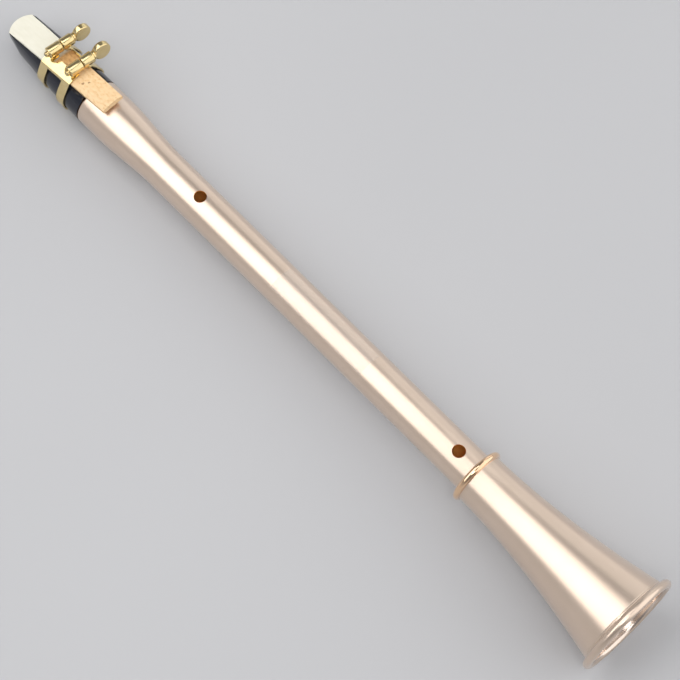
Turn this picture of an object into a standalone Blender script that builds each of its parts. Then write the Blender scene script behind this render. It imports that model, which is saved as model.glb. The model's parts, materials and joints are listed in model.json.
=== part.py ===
"""Pocket saxophone: a keyless reed instrument with a turned bell, mouthpiece and ligature.

Everything is built in the instrument's own frame, in metres. X runs along the bore to the
bell from the socket's end face, and +Z is the side of the thumb hole. The frame hangs on an
empty that leans, so that the instrument lies on its bell rim and its rear ligature band.
"""
import math

import bmesh
import bpy
from mathutils import Matrix, Vector

# Fits and fineness
GAP = 0.0003
MERGE = 0.00001
SEGMENTS = 40
SMALL_SEGMENTS = 16

# Body tube and its socket
TUBE_RADIUS = 0.0104
TUBE_WALL = 0.0010
BODY_REACH = 0.2720
SOCKET_RADIUS = 0.0127
SOCKET_WALL = 0.0012
SOCKET_DEPTH = 0.0205
SOCKET_TAPER_START = 0.0130
SOCKET_TAPER_END = 0.0535
LIP_ROUNDING = 0.0008

# Tone holes, their places as shares of the body's reach
THUMB_HOLE_SHARE = 0.2886
THUMB_HOLE_RADIUS = 0.00325
VENT_HOLE_SHARE = 0.9478
VENT_HOLE_RADIUS = 0.00335
FINGER_HOLE_SHARES = (0.3548, 0.4320, 0.5202, 0.6195, 0.6893, 0.7702)
FINGER_HOLE_RADIUS = 0.0038
LITTLE_FINGER_HOLE_SHARE = 0.8658
LITTLE_FINGER_HOLE_RADIUS = 0.0033
LITTLE_FINGER_SIDE_ANGLE = math.radians(15)

# Joint of tube and bell
RING_WIDTH = 0.0035
RING_RADIUS = 0.0150
SLEEVE_LENGTH = 0.0140

# Bell
BELL_LENGTH = 0.0978
BELL_THROAT_RADIUS = 0.0131
BELL_WALL = 0.0008
BELL_FLARE_POWER = 1.75
RIM_RADIUS = 0.0280
ROLL_RADIUS = 0.0021
ROLL_STEP = math.radians(20)
ROLL_STEPS = 14

# Mouthpiece
MOUTHPIECE_TURN = math.radians(2)
MOUTHPIECE_LENGTH = 0.0602
BARREL_LENGTH = 0.0128
TIP_RADIUS = 0.0091
TENON_RADIUS = 0.0097
TENON_COLLAR_LENGTH = 0.0016
CORK_INSET = 0.0015
BORE_RADIUS = 0.0072
BORE_END_X = -0.0300
PLATFORM_HALF_WIDTH = 0.0079
BEAK_LENGTH = 0.0350
TIP_THICKNESS = 0.0012
TIP_OPENING = 0.0019
TIP_RAIL = 0.0020
FACING_LENGTH = 0.0240
WINDOW_LENGTH = 0.0380
WINDOW_HALF_WIDTH = 0.0056
CHAMBER_HALF_HEIGHT = 0.0070
BAFFLE_WALL = 0.0013

# Reed
REED_ANGLE = math.radians(7)
REED_SKEW = math.radians(0.7)
REED_PIVOT = 0.0225
REED_OVERHANG = 0.0144
REED_LENGTH = 0.0746
REED_THICKNESS = 0.0031
REED_EDGE = 0.0014
REED_BUTT_HALF_WIDTH = 0.0062
REED_TIP_HALF_WIDTH = 0.0076
REED_TIP_THICKNESS = 0.0002
REED_TIP_CROWN = 0.0033
VAMP_LENGTH = 0.0340
VAMP_POWER = 1.15

# Ligature
SHEET = 0.0007
BAND_WIDTH = 0.0053
REAR_BAND_X = -0.01235
FRONT_BAND_X = -0.02805
BAND_STEP = math.radians(10)
SPLIT_LEFT_Y = -0.0005
SPLIT_RIGHT_Y = 0.0050
STRIP_LEFT_Y = -0.0043
STRIP_RIGHT_Y = 0.0066
TAB_RISE = 0.0026
TAB_LENGTH = 0.0034
TAB_BASE_LENGTH = 0.0058
STRIP_LIFT = 0.0011
LIP_X = -0.0197
LIP_LENGTH = 0.0031

# Posts and thumbscrews
POST_RADIUS = 0.0031
LEFT_POST_START_Y = -0.0049
LEFT_POST_END_Y = 0.0028
RIGHT_POST_START_Y = 0.0032
RIGHT_POST_END_Y = 0.0098
SCREW_RADIUS = 0.0015
SCREW_TAIL = 0.0018
COLLAR_RADIUS = 0.0024
COLLAR_LENGTH = 0.0008
NECK_RADIUS = 0.0018
HEAD_CENTRE_Y = 0.0152
HEAD_RADIUS = 0.0048
HEAD_THICKNESS = 0.0034
HEAD_ROUNDING = 0.0007
FRONT_SCREW_SKEW = math.radians(5.5)
REAR_SCREW_SKEW = math.radians(4)
FRONT_HEAD_TURN = math.radians(4)
REAR_HEAD_TURN = math.radians(8.5)

# Places that follow from the sizes above
BELL_START_X = BODY_REACH
RIM_END_X = BELL_START_X + BELL_LENGTH
ROLL_X = RIM_END_X - ROLL_RADIUS
ROLL_CENTRE_RADIUS = RIM_RADIUS - ROLL_RADIUS
TUBE_END_X = BELL_START_X + SLEEVE_LENGTH
TUBE_BORE = TUBE_RADIUS - TUBE_WALL
SOCKET_BORE = SOCKET_RADIUS - SOCKET_WALL
TENON_END_X = SOCKET_DEPTH - 2 * GAP
CORK_END_X = TENON_END_X - TENON_COLLAR_LENGTH - GAP
CORK_RADIUS = SOCKET_BORE - GAP
SHOULDER_X = -GAP
TIP_X = -MOUTHPIECE_LENGTH
REED_SLOPE = math.tan(REED_ANGLE)
REED_BUTT_Z = SOCKET_RADIUS + GAP + (REED_OVERHANG - LIP_ROUNDING) * REED_SLOPE
ARCH_RISE = REED_THICKNESS - REED_EDGE
ARCH_RADIUS = (REED_BUTT_HALF_WIDTH ** 2 + ARCH_RISE ** 2) / (2 * ARCH_RISE) + 0.0040

# Metals, cork, cane and moulded black: colour, metallic and roughness
LACQUER = ("lacquer", (0.72, 0.60, 0.51), 1.0, 0.34)
GOLD = ("gold", (0.86, 0.62, 0.30), 1.0, 0.16)
BRASS = ("raw_brass", (0.62, 0.42, 0.20), 1.0, 0.40)
BLACK = ("gloss_black", (0.012, 0.013, 0.018), 0.0, 0.12)
CANE = ("cane", (0.86, 0.70, 0.42), 0.0, 0.55)
CORK = ("cork", (0.55, 0.36, 0.20), 0.0, 0.85)

# Turning an object's own Z to the instrument's X or Y, and a drawn outline to a cut's plane
TO_X = Matrix.Rotation(math.radians(90), 4, "Y")
TO_Y = Matrix.Rotation(math.radians(-90), 4, "X")
SIDE_VIEW = Matrix.Rotation(math.radians(90), 4, "X")
END_VIEW = Matrix(((0, 0, 1, 0), (1, 0, 0, 0), (0, 1, 0, 0), (0, 0, 0, 1)))


def clear_scene():
    """Remove whatever the scene holds at the start."""
    for obj in list(bpy.data.objects):
        bpy.data.objects.remove(obj, do_unlink=True)


def new_collection(name):
    """A collection under the scene's own."""
    collection = bpy.data.collections.new(name)
    bpy.context.scene.collection.children.link(collection)
    return collection


def new_empty(name, parent, matrix):
    """An empty that carries pieces or marks a joint's axis."""
    empty = bpy.data.objects.new(name, None)
    empty.empty_display_size = 0.01
    PARTS.objects.link(empty)
    empty.parent = parent
    empty.matrix_basis = matrix
    return empty


def new_material(name, colour, metallic, roughness):
    """A Principled material of one colour."""
    material = bpy.data.materials.new(name)
    material.use_nodes = True
    shader = material.node_tree.nodes["Principled BSDF"]
    shader.inputs["Base Color"].default_value = (*colour, 1.0)
    shader.inputs["Metallic"].default_value = metallic
    shader.inputs["Roughness"].default_value = roughness
    material.diffuse_color = (*colour, 1.0)
    return material


def add_object(name, mesh, collection, parent, matrix):
    """Put a mesh into a collection under its parent."""
    obj = bpy.data.objects.new(name, mesh)
    collection.objects.link(obj)
    obj.parent = parent
    obj.matrix_basis = matrix
    if collection is CUTTERS:
        obj.hide_render = True
        obj.display_type = "WIRE"
    return obj


def finish_piece(obj, finish):
    """Give a piece its own material and smooth round faces."""
    label, colour, metallic, roughness = finish
    obj.data.materials.append(new_material(obj.name + "_" + label, colour, metallic, roughness))
    obj.data.shade_smooth()
    obj.data.set_sharp_from_angle(angle=math.radians(35))
    return obj


def turned(name, profile, collection, parent, matrix, closed, steps=SEGMENTS):
    """Turn a profile of (height, radius) points round its own Z.

    A closed profile makes a ring, an open one starts and ends on the axis. The points run
    down the outer side.
    """
    mesh = bpy.data.meshes.new(name)
    points = [(radius, 0.0, height) for height, radius in profile]
    count = len(points)
    edges = [(i, (i + 1) % count) for i in range(count if closed else count - 1)]
    mesh.from_pydata(points, edges, [])
    half_step = Matrix.Rotation(math.pi / steps, 4, "Z")
    obj = add_object(name, mesh, collection, parent, matrix @ half_step)
    screw = obj.modifiers.new("turn", "SCREW")
    screw.axis = "Z"
    screw.angle = 2 * math.pi
    screw.steps = steps
    screw.render_steps = steps
    screw.use_merge_vertices = True
    screw.merge_threshold = MERGE
    screw.use_smooth_shade = True
    return obj


def outline_solid(name, outline, half_depth, collection, parent, matrix):
    """A flat outline made a plate of twice the half depth."""
    curve = bpy.data.curves.new(name, "CURVE")
    curve.dimensions = "2D"
    curve.fill_mode = "BOTH"
    curve.extrude = half_depth
    spline = curve.splines.new("POLY")
    spline.points.add(len(outline) - 1)
    for point, (across, up) in zip(spline.points, outline):
        point.co = (across, up, 0.0, 1.0)
    spline.use_cyclic_u = True
    drawn = bpy.data.objects.new(name + "_drawn", curve)
    CUTTERS.objects.link(drawn)
    depsgraph = bpy.context.evaluated_depsgraph_get()
    mesh = bpy.data.meshes.new_from_object(drawn.evaluated_get(depsgraph))
    mesh.name = name
    bpy.data.objects.remove(drawn, do_unlink=True)
    weld = bmesh.new()
    weld.from_mesh(mesh)
    bmesh.ops.remove_doubles(weld, verts=weld.verts, dist=MERGE)
    bmesh.ops.recalc_face_normals(weld, faces=weld.faces)
    weld.to_mesh(mesh)
    weld.free()
    return add_object(name, mesh, collection, parent, matrix)


def round_cutter(name, radius, depth, parent, matrix, segments=SMALL_SEGMENTS):
    """A plain cylinder along its own Z, to cut or cross another piece."""
    mesh = bpy.data.meshes.new(name)
    shape = bmesh.new()
    bmesh.ops.create_cone(shape, cap_ends=True, segments=segments,
                          radius1=radius, radius2=radius, depth=depth)
    shape.to_mesh(mesh)
    shape.free()
    return add_object(name, mesh, CUTTERS, parent, matrix)


def boolean(obj, other, operation):
    """Cut, join or cross a piece with a cutter."""
    modifier = obj.modifiers.new(other.name, "BOOLEAN")
    modifier.operation = operation
    modifier.object = other
    modifier.solver = "EXACT"


def arc(centre_x, centre_y, radius, start, end, count):
    """Points of an arc, both ends included."""
    points = []
    for i in range(count + 1):
        angle = start + (end - start) * i / count
        points.append((centre_x + radius * math.cos(angle), centre_y + radius * math.sin(angle)))
    return points


def build_body_tube():
    """The tube with its widened socket, its bore and nine tone holes."""
    outer = [(TUBE_END_X, TUBE_RADIUS)]
    taper_steps = 8
    for i in range(taper_steps + 1):
        share = 1 - i / taper_steps
        x = SOCKET_TAPER_START + (SOCKET_TAPER_END - SOCKET_TAPER_START) * share
        swell = (1 + math.cos(math.pi * share)) / 2
        outer.append((x, TUBE_RADIUS + (SOCKET_RADIUS - TUBE_RADIUS) * swell))
    lip_centre = SOCKET_RADIUS - LIP_ROUNDING
    lip = arc(LIP_ROUNDING, lip_centre, LIP_ROUNDING, math.radians(90), math.radians(180), 3)
    inner = [
        (0.0, SOCKET_BORE),
        (SOCKET_DEPTH, SOCKET_BORE),
        (SOCKET_TAPER_END - TUBE_RADIUS / 2, TUBE_BORE),
        (TUBE_END_X, TUBE_BORE),
    ]
    tube = turned("body_tube", outer + lip + inner, PARTS, INSTRUMENT, TO_X, closed=True)
    holes = [("thumb_hole", THUMB_HOLE_SHARE, THUMB_HOLE_RADIUS, 0.0)]
    holes.append(("vent_hole", VENT_HOLE_SHARE, VENT_HOLE_RADIUS, 0.0))
    for number, share in enumerate(FINGER_HOLE_SHARES, start=1):
        holes.append((f"finger_hole_{number}", share, FINGER_HOLE_RADIUS, math.pi))
    side = math.pi + LITTLE_FINGER_SIDE_ANGLE
    holes.append(("finger_hole_7", LITTLE_FINGER_HOLE_SHARE, LITTLE_FINGER_HOLE_RADIUS, side))
    for name, share, radius, angle in holes:
        around = Matrix.Rotation(angle, 4, "X")
        out = Matrix.Translation((0, 0, TUBE_RADIUS))
        where = Matrix.Translation((share * BODY_REACH, 0, 0)) @ around @ out
        boolean(tube, round_cutter(name, radius, TUBE_RADIUS, INSTRUMENT, where), "DIFFERENCE")
    return finish_piece(tube, LACQUER)


def build_joint_ring():
    """The bead that closes the step from the tube to the bell."""
    high = BELL_START_X - GAP
    low = high - RING_WIDTH
    half = RING_WIDTH / 2
    bead = arc((high + low) / 2, RING_RADIUS - half, half, 0.0, math.pi, 8)
    bore = TUBE_RADIUS + GAP
    profile = [(high, bore)] + bead + [(low, bore)]
    ring = turned("joint_ring", profile, PARTS, INSTRUMENT, TO_X, closed=True)
    return finish_piece(ring, GOLD)


def build_bell_sleeve():
    """The bush that fills the space between the tube's end and the bell's throat."""
    outer = BELL_THROAT_RADIUS - BELL_WALL - GAP
    inner = TUBE_RADIUS + GAP
    profile = [
        (TUBE_END_X, outer),
        (BELL_START_X, outer),
        (BELL_START_X, inner),
        (TUBE_END_X, inner),
    ]
    sleeve = turned("bell_sleeve", profile, PARTS, INSTRUMENT, TO_X, closed=True)
    return finish_piece(sleeve, BRASS)


def flare_radius(x):
    """The bell's outer radius before the roll."""
    flare_end_radius = ROLL_CENTRE_RADIUS - ROLL_RADIUS + BELL_WALL
    share = max(0.0, (x - BELL_START_X) / (ROLL_X - ROLL_RADIUS - BELL_START_X))
    return BELL_THROAT_RADIUS + (flare_end_radius - BELL_THROAT_RADIUS) * share ** BELL_FLARE_POWER


def build_bell():
    """One sheet: throat, flare and the rim rolled outwards round its wire."""
    flare_steps = 12
    flare_end = ROLL_X - ROLL_RADIUS
    stations = []
    for i in range(flare_steps + 1):
        stations.append(flare_end + (BELL_START_X - flare_end) * i / flare_steps)
    outer = [(x, flare_radius(x)) for x in stations]
    inner = [(x, flare_radius(x) - BELL_WALL) for x in reversed(stations)]
    start = math.radians(-90)
    end = start + ROLL_STEPS * ROLL_STEP
    roll = arc(ROLL_X, ROLL_CENTRE_RADIUS, ROLL_RADIUS, start, end, ROLL_STEPS)
    hollow = arc(ROLL_X, ROLL_CENTRE_RADIUS, ROLL_RADIUS - BELL_WALL, end, start, ROLL_STEPS)
    bell = turned("bell", outer + inner + roll + hollow, PARTS, INSTRUMENT, TO_X, closed=True)
    return finish_piece(bell, LACQUER)


def build_rim_wire():
    """The wire inside the rolled rim."""
    radius = ROLL_RADIUS - BELL_WALL - GAP
    section = arc(ROLL_X, ROLL_CENTRE_RADIUS, radius, 0.0, 2 * math.pi, 8)[:-1]
    wire = turned("rim_wire", section, PARTS, INSTRUMENT, TO_X, closed=True)
    return finish_piece(wire, BRASS)


def mouthpiece_radius(x):
    """The mouthpiece's round body: a short barrel and a long cone to the tip."""
    cone_start = -BARREL_LENGTH
    if x > cone_start:
        return SOCKET_RADIUS
    share = (cone_start - x) / (cone_start - TIP_X)
    return SOCKET_RADIUS + (TIP_RADIUS - SOCKET_RADIUS) * share


def reed_under_z(x):
    """The height of the reed's flat underside."""
    return REED_BUTT_Z - (REED_OVERHANG - x) * REED_SLOPE


def table_z(x):
    """The height of the mouthpiece's table, and of its facing curve near the tip."""
    facing_start = TIP_X + FACING_LENGTH
    height = reed_under_z(x) - GAP / math.cos(REED_ANGLE)
    if x < facing_start:
        height -= TIP_OPENING * ((facing_start - x) / FACING_LENGTH) ** 2
    return height


def beak_z(x):
    """The height of the beak's sloping face under the tip."""
    tip_z = table_z(TIP_X) - TIP_THICKNESS
    beak_start = TIP_X + BEAK_LENGTH
    slope = (tip_z + mouthpiece_radius(beak_start)) / BEAK_LENGTH
    return tip_z - slope * (x - TIP_X)


def build_mouthpiece():
    """Turned body with tenon and bore, cut to table, facing, beak, window and chamber."""
    collar_radius = CORK_RADIUS - GAP
    profile = [
        (TENON_END_X, 0.0),
        (TENON_END_X, collar_radius),
        (TENON_END_X - TENON_COLLAR_LENGTH, collar_radius),
        (TENON_END_X - TENON_COLLAR_LENGTH, TENON_RADIUS),
        (SHOULDER_X, TENON_RADIUS),
        (SHOULDER_X, SOCKET_RADIUS),
        (-BARREL_LENGTH, SOCKET_RADIUS),
        (TIP_X, TIP_RADIUS),
        (TIP_X, 0.0),
    ]
    body = turned("mouthpiece", profile, PARTS, MOUTHPIECE_AXIS, TO_X, closed=False)
    width = PLATFORM_HALF_WIDTH
    block = [(-width, BORE_RADIUS / 3), (width, BORE_RADIUS / 3)]
    block += [(width, SOCKET_RADIUS), (-width, SOCKET_RADIUS)]
    middle = Matrix.Translation(((TIP_X + SHOULDER_X) / 2, 0, 0)) @ END_VIEW
    half_length = (SHOULDER_X - TIP_X) / 2
    platform = outline_solid("table_block", block, half_length, CUTTERS, MOUTHPIECE_AXIS, middle)
    boolean(body, platform, "UNION")

    past_tenon = TENON_END_X + BORE_RADIUS
    bore = [(past_tenon, 0.0), (past_tenon, BORE_RADIUS), (BORE_END_X, BORE_RADIUS), (BORE_END_X, 0.0)]
    cutter = turned("bore_cut", bore, CUTTERS, MOUTHPIECE_AXIS, TO_X, closed=False)
    boolean(body, cutter, "DIFFERENCE")

    beyond = TIP_X - BAFFLE_WALL
    above = 3 * SOCKET_RADIUS
    table = [(TENON_END_X / 4, table_z(TENON_END_X / 4))]
    for i in range(7):
        x = TIP_X + FACING_LENGTH * (1 - i / 6)
        table.append((x, table_z(x)))
    table += [(beyond, table_z(beyond)), (beyond, above), (TENON_END_X / 4, above)]
    cutter = outline_solid("table_cut", table, above, CUTTERS, MOUTHPIECE_AXIS, SIDE_VIEW)
    boolean(body, cutter, "DIFFERENCE")

    past_beak = TIP_X + 1.2 * BEAK_LENGTH
    beak = [(beyond, -above), (past_beak, -above)]
    beak += [(past_beak, beak_z(past_beak)), (beyond, beak_z(beyond))]
    cutter = outline_solid("beak_cut", beak, above, CUTTERS, MOUTHPIECE_AXIS, SIDE_VIEW)
    boolean(body, cutter, "DIFFERENCE")

    window_front = TIP_X + TIP_RAIL
    window_back = window_front + WINDOW_LENGTH
    baffle_top = beak_z(window_front) + BAFFLE_WALL
    slope = (beak_z(window_front) - beak_z(window_back)) / WINDOW_LENGTH
    baffle_end = window_front + (baffle_top + CHAMBER_HALF_HEIGHT) / slope
    chamber = [(window_front, baffle_top), (baffle_end, -CHAMBER_HALF_HEIGHT)]
    chamber += [(window_back, -CHAMBER_HALF_HEIGHT), (window_back, above), (window_front, above)]
    cutter = outline_solid("chamber_cut", chamber, WINDOW_HALF_WIDTH, CUTTERS,
                           MOUTHPIECE_AXIS, SIDE_VIEW)
    boolean(body, cutter, "DIFFERENCE")

    plan = tip_outline(TIP_X, REED_TIP_HALF_WIDTH + GAP, REED_TIP_CROWN)
    plan += [(TIP_X + BEAK_LENGTH, SOCKET_RADIUS * 1.1), (TENON_END_X * 1.2, SOCKET_RADIUS * 1.1)]
    plan += [(TENON_END_X * 1.2, -SOCKET_RADIUS * 1.1), (TIP_X + BEAK_LENGTH, -SOCKET_RADIUS * 1.1)]
    flat = Matrix.Identity(4)
    cutter = outline_solid("plan_shape", plan, above, CUTTERS, MOUTHPIECE_AXIS, flat)
    boolean(body, cutter, "INTERSECT")
    return finish_piece(body, BLACK)


def tip_outline(tip_x, half_width, crown):
    """The rounded tip in plan, from the left corner round to the right one."""
    radius = (half_width ** 2 + crown ** 2) / (2 * crown)
    spread = math.asin(half_width / radius)
    return arc(tip_x + radius, 0.0, radius, math.pi + spread, math.pi - spread, 8)


def build_tenon_cork():
    """The cork sleeve on the tenon."""
    inner = TENON_RADIUS + GAP
    profile = [
        (CORK_END_X, CORK_RADIUS),
        (CORK_INSET, CORK_RADIUS),
        (CORK_INSET, inner),
        (CORK_END_X, inner),
    ]
    cork = turned("tenon_cork", profile, PARTS, CORK_AXIS, TO_X, closed=True)
    return finish_piece(cork, CORK)


def build_reed():
    """Cane cut to its plan, rounded by its bark and thinned to the tip."""
    plan = tip_outline(-REED_LENGTH, REED_TIP_HALF_WIDTH, REED_TIP_CROWN)
    plan += [(0.0, REED_BUTT_HALF_WIDTH), (0.0, -REED_BUTT_HALF_WIDTH)]
    middle = Matrix.Translation((0, 0, REED_THICKNESS))
    reed = outline_solid("reed", plan, REED_THICKNESS, PARTS, REED_AXIS, middle)
    length = REED_LENGTH * 1.2
    bark_centre = Matrix.Translation((-REED_LENGTH / 2, 0, REED_THICKNESS - ARCH_RADIUS))
    bark = round_cutter("bark_round", ARCH_RADIUS, length, REED_AXIS, bark_centre @ TO_X, 72)
    boolean(reed, bark, "INTERSECT")
    vamp = []
    steps = 8
    for i in range(steps + 1):
        share = i / steps
        depth = (REED_THICKNESS - REED_TIP_THICKNESS) * share ** VAMP_POWER
        vamp.append((-REED_LENGTH + VAMP_LENGTH * share, REED_TIP_THICKNESS + depth))
    above = 2 * REED_THICKNESS
    beyond = -REED_LENGTH - REED_TIP_CROWN
    vamp += [(-REED_LENGTH + VAMP_LENGTH, above), (beyond, above), (beyond, REED_TIP_THICKNESS)]
    cutter = outline_solid("vamp_cut", vamp, 2 * REED_TIP_HALF_WIDTH, CUTTERS,
                           REED_AXIS, SIDE_VIEW)
    boolean(reed, cutter, "DIFFERENCE")
    return finish_piece(reed, CANE)


def reed_half_width(x):
    """The reed's half width at a place along the instrument."""
    share = (REED_OVERHANG - x) / (REED_LENGTH * math.cos(REED_ANGLE))
    return REED_BUTT_HALF_WIDTH + (REED_TIP_HALF_WIDTH - REED_BUTT_HALF_WIDTH) * share


def reed_middle_y(x):
    """The place of the reed's middle line, which lies slightly askew on the table."""
    pivot_x = REED_OVERHANG - REED_PIVOT * math.cos(REED_ANGLE)
    return (x - pivot_x) * math.tan(REED_SKEW)


def bark_z(x, y):
    """The height of the reed's rounded bark."""
    off_middle = y - reed_middle_y(x)
    sag = ARCH_RADIUS - math.sqrt(ARCH_RADIUS ** 2 - off_middle ** 2)
    return reed_under_z(x) + (REED_THICKNESS - sag) / math.cos(REED_ANGLE)


def strap_side(x, side, end_y):
    """One side of the strap's inner face: from its free edge over the reed's corner."""
    corner_y = reed_middle_y(x) + side * (reed_half_width(x) + 1.5 * GAP)
    points = []
    for i in range(4):
        y = end_y + (corner_y - end_y) * i / 4
        points.append((y, bark_z(x, y) + 1.4 * GAP))
    corner = Vector((abs(corner_y), bark_z(x, corner_y) + 1.3 * GAP))
    points.append((corner_y, corner.y))
    radius = mouthpiece_radius(x) + GAP
    angle = math.atan2(corner.x, corner.y) + math.acos(radius / corner.length)
    points.append((side * radius * math.sin(angle), radius * math.cos(angle)))
    return points


def strap_section(x):
    """The strap's inner face at one place, from its left free edge round to the right one."""
    radius = mouthpiece_radius(x) + GAP
    left = strap_side(x, -1, SPLIT_LEFT_Y)
    right = strap_side(x, 1, SPLIT_RIGHT_Y)
    round_part = []
    for i in range(-11, 11):
        angle = MOUTHPIECE_TURN + (i + 0.5) * BAND_STEP
        round_part.append((radius * math.sin(angle), -radius * math.cos(angle)))
    return left + round_part + list(reversed(right))


def strip_side_z(x):
    """The height where the right strip ends on the reed's corner, beside its lip."""
    corner_y = reed_middle_y(x) + reed_half_width(x) + 1.5 * GAP
    return bark_z(x, corner_y) + 2 * GAP


def build_ligature_band():
    """One sheet: two bands joined by strips along the reed's edges, open over the reed."""
    half = BAND_WIDTH / 2
    stations = [FRONT_BAND_X - half, FRONT_BAND_X + half, REAR_BAND_X - half, REAR_BAND_X + half]
    mesh = bpy.data.meshes.new("ligature_band")
    sheet = bmesh.new()
    rows = []
    for x in stations:
        rows.append([sheet.verts.new((x, y, z)) for y, z in strap_section(x)])
    for row, next_row in zip(rows, rows[1:]):
        for i in range(len(row) - 1):
            sheet.faces.new((row[i + 1], next_row[i + 1], next_row[i], row[i]))
    sheet.to_mesh(mesh)
    sheet.free()
    band = add_object("ligature_band", mesh, PARTS, LIGATURE_AXIS, Matrix.Identity(4))
    solid = band.modifiers.new("sheet", "SOLIDIFY")
    solid.thickness = SHEET
    solid.offset = 1.0
    solid.use_even_offset = True

    front = FRONT_BAND_X + half
    back = REAR_BAND_X - half
    deep = 2 * SOCKET_RADIUS
    window = [(front, -deep), (back, -deep)]
    window += [(back, reed_under_z(back) + STRIP_LIFT), (front, reed_under_z(front) + STRIP_LIFT)]
    cutter = outline_solid("window_cut", window, deep, CUTTERS, LIGATURE_AXIS, SIDE_VIEW)
    lip_front = LIP_X - LIP_LENGTH / 2
    lip_back = LIP_X + LIP_LENGTH / 2
    side = [(front, -deep), (back, -deep), (back, strip_side_z(back))]
    side += [(lip_back, strip_side_z(lip_back)), (lip_back, 0.0), (lip_front, 0.0)]
    side += [(lip_front, strip_side_z(lip_front)), (front, strip_side_z(front))]
    right = Matrix.Translation((0, deep, 0)) @ SIDE_VIEW
    right_cutter = outline_solid("right_window_cut", side, deep, CUTTERS, LIGATURE_AXIS, right)
    boolean(cutter, right_cutter, "UNION")
    boolean(band, cutter, "DIFFERENCE")

    middle = (front + back) / 2
    base = TAB_BASE_LENGTH / 2
    top = TAB_LENGTH / 2
    split = [(front, STRIP_LEFT_Y), (middle - base, STRIP_LEFT_Y)]
    split += [(middle - top, STRIP_LEFT_Y + TAB_RISE), (middle + top, STRIP_LEFT_Y + TAB_RISE)]
    split += [(middle + base, STRIP_LEFT_Y), (back, STRIP_LEFT_Y)]
    split += [(back, STRIP_RIGHT_Y), (front, STRIP_RIGHT_Y)]
    above = Matrix.Translation((0, 0, 2 * SOCKET_RADIUS))
    cutter = outline_solid("split_cut", split, 2 * SOCKET_RADIUS, CUTTERS, LIGATURE_AXIS, above)
    boolean(band, cutter, "DIFFERENCE")
    return finish_piece(band, GOLD)


def screw_z(x):
    """The height of a thumbscrew's axis: its posts rest on the band."""
    lift = (SHEET + POST_RADIUS + GAP) / math.cos(REED_ANGLE)
    return bark_z(x, 0.0) + 1.4 * GAP + lift


def build_post(name, axis, start_y, end_y):
    """A barrel with the hole that its thumbscrew passes through."""
    bore = SCREW_RADIUS + GAP
    ease = POST_RADIUS / 6
    profile = [
        (end_y, POST_RADIUS - ease),
        (end_y - ease, POST_RADIUS),
        (start_y + ease, POST_RADIUS),
        (start_y, POST_RADIUS - ease),
        (start_y, bore),
        (end_y, bore),
    ]
    post = turned(name, profile, PARTS, axis, TO_Y, True, SMALL_SEGMENTS)
    return finish_piece(post, GOLD)


def build_thumbscrew(name, axis, head_turn):
    """Shaft, collar and neck turned in one, with a thick round head across the end."""
    collar_end = RIGHT_POST_END_Y + GAP + COLLAR_LENGTH
    tail = LEFT_POST_START_Y - SCREW_TAIL
    ease = SCREW_RADIUS / 3
    profile = [
        (HEAD_CENTRE_Y, 0.0),
        (HEAD_CENTRE_Y, NECK_RADIUS),
        (collar_end, NECK_RADIUS),
        (collar_end, COLLAR_RADIUS),
        (RIGHT_POST_END_Y + GAP, COLLAR_RADIUS),
        (RIGHT_POST_END_Y + GAP, SCREW_RADIUS),
        (tail + ease, SCREW_RADIUS),
        (tail, SCREW_RADIUS - ease),
        (tail, 0.0),
    ]
    screw = turned(name, profile, PARTS, axis, TO_Y, False, SMALL_SEGMENTS)
    half = HEAD_THICKNESS / 2
    rim = HEAD_RADIUS - HEAD_ROUNDING
    face = [(half, 0.0), (half, rim), (half - 0.3 * HEAD_ROUNDING, rim + 0.7 * HEAD_ROUNDING)]
    face += [(half - HEAD_ROUNDING, HEAD_RADIUS), (HEAD_ROUNDING - half, HEAD_RADIUS)]
    face += [(0.3 * HEAD_ROUNDING - half, rim + 0.7 * HEAD_ROUNDING), (-half, rim), (-half, 0.0)]
    lean = Matrix.Rotation(-head_turn, 4, "Y")
    place = Matrix.Translation((0, HEAD_CENTRE_Y, 0)) @ lean @ TO_X
    head = turned(name + "_head", face, CUTTERS, axis, place, False, 24)
    boolean(screw, head, "UNION")
    return finish_piece(screw, GOLD)


def rest_lean():
    """The lean that sets the bell's rim and the rear ligature band on one floor."""
    flat = math.cos(math.pi / SEGMENTS)
    rim_x = ROLL_X
    band_x = REAR_BAND_X + BAND_WIDTH / 2
    band_rest = (mouthpiece_radius(band_x) + GAP) * math.cos(BAND_STEP / 2) + SHEET
    return math.atan2(RIM_RADIUS * flat - band_rest, rim_x - band_x)


def set_on_floor():
    """Move the whole so that the middle of its box's floor is the origin."""
    bpy.context.view_layer.update()
    depsgraph = bpy.context.evaluated_depsgraph_get()
    corners = []
    for obj in PARTS.objects:
        if obj.type != "MESH":
            continue
        evaluated = obj.evaluated_get(depsgraph)
        corners += [evaluated.matrix_world @ vertex.co for vertex in evaluated.data.vertices]
    low = [min(corner[axis] for corner in corners) for axis in range(3)]
    high = [max(corner[axis] for corner in corners) for axis in range(3)]
    INSTRUMENT.location = (-(low[0] + high[0]) / 2, -(low[1] + high[1]) / 2, -low[2])
    bpy.context.view_layer.update()


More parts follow.
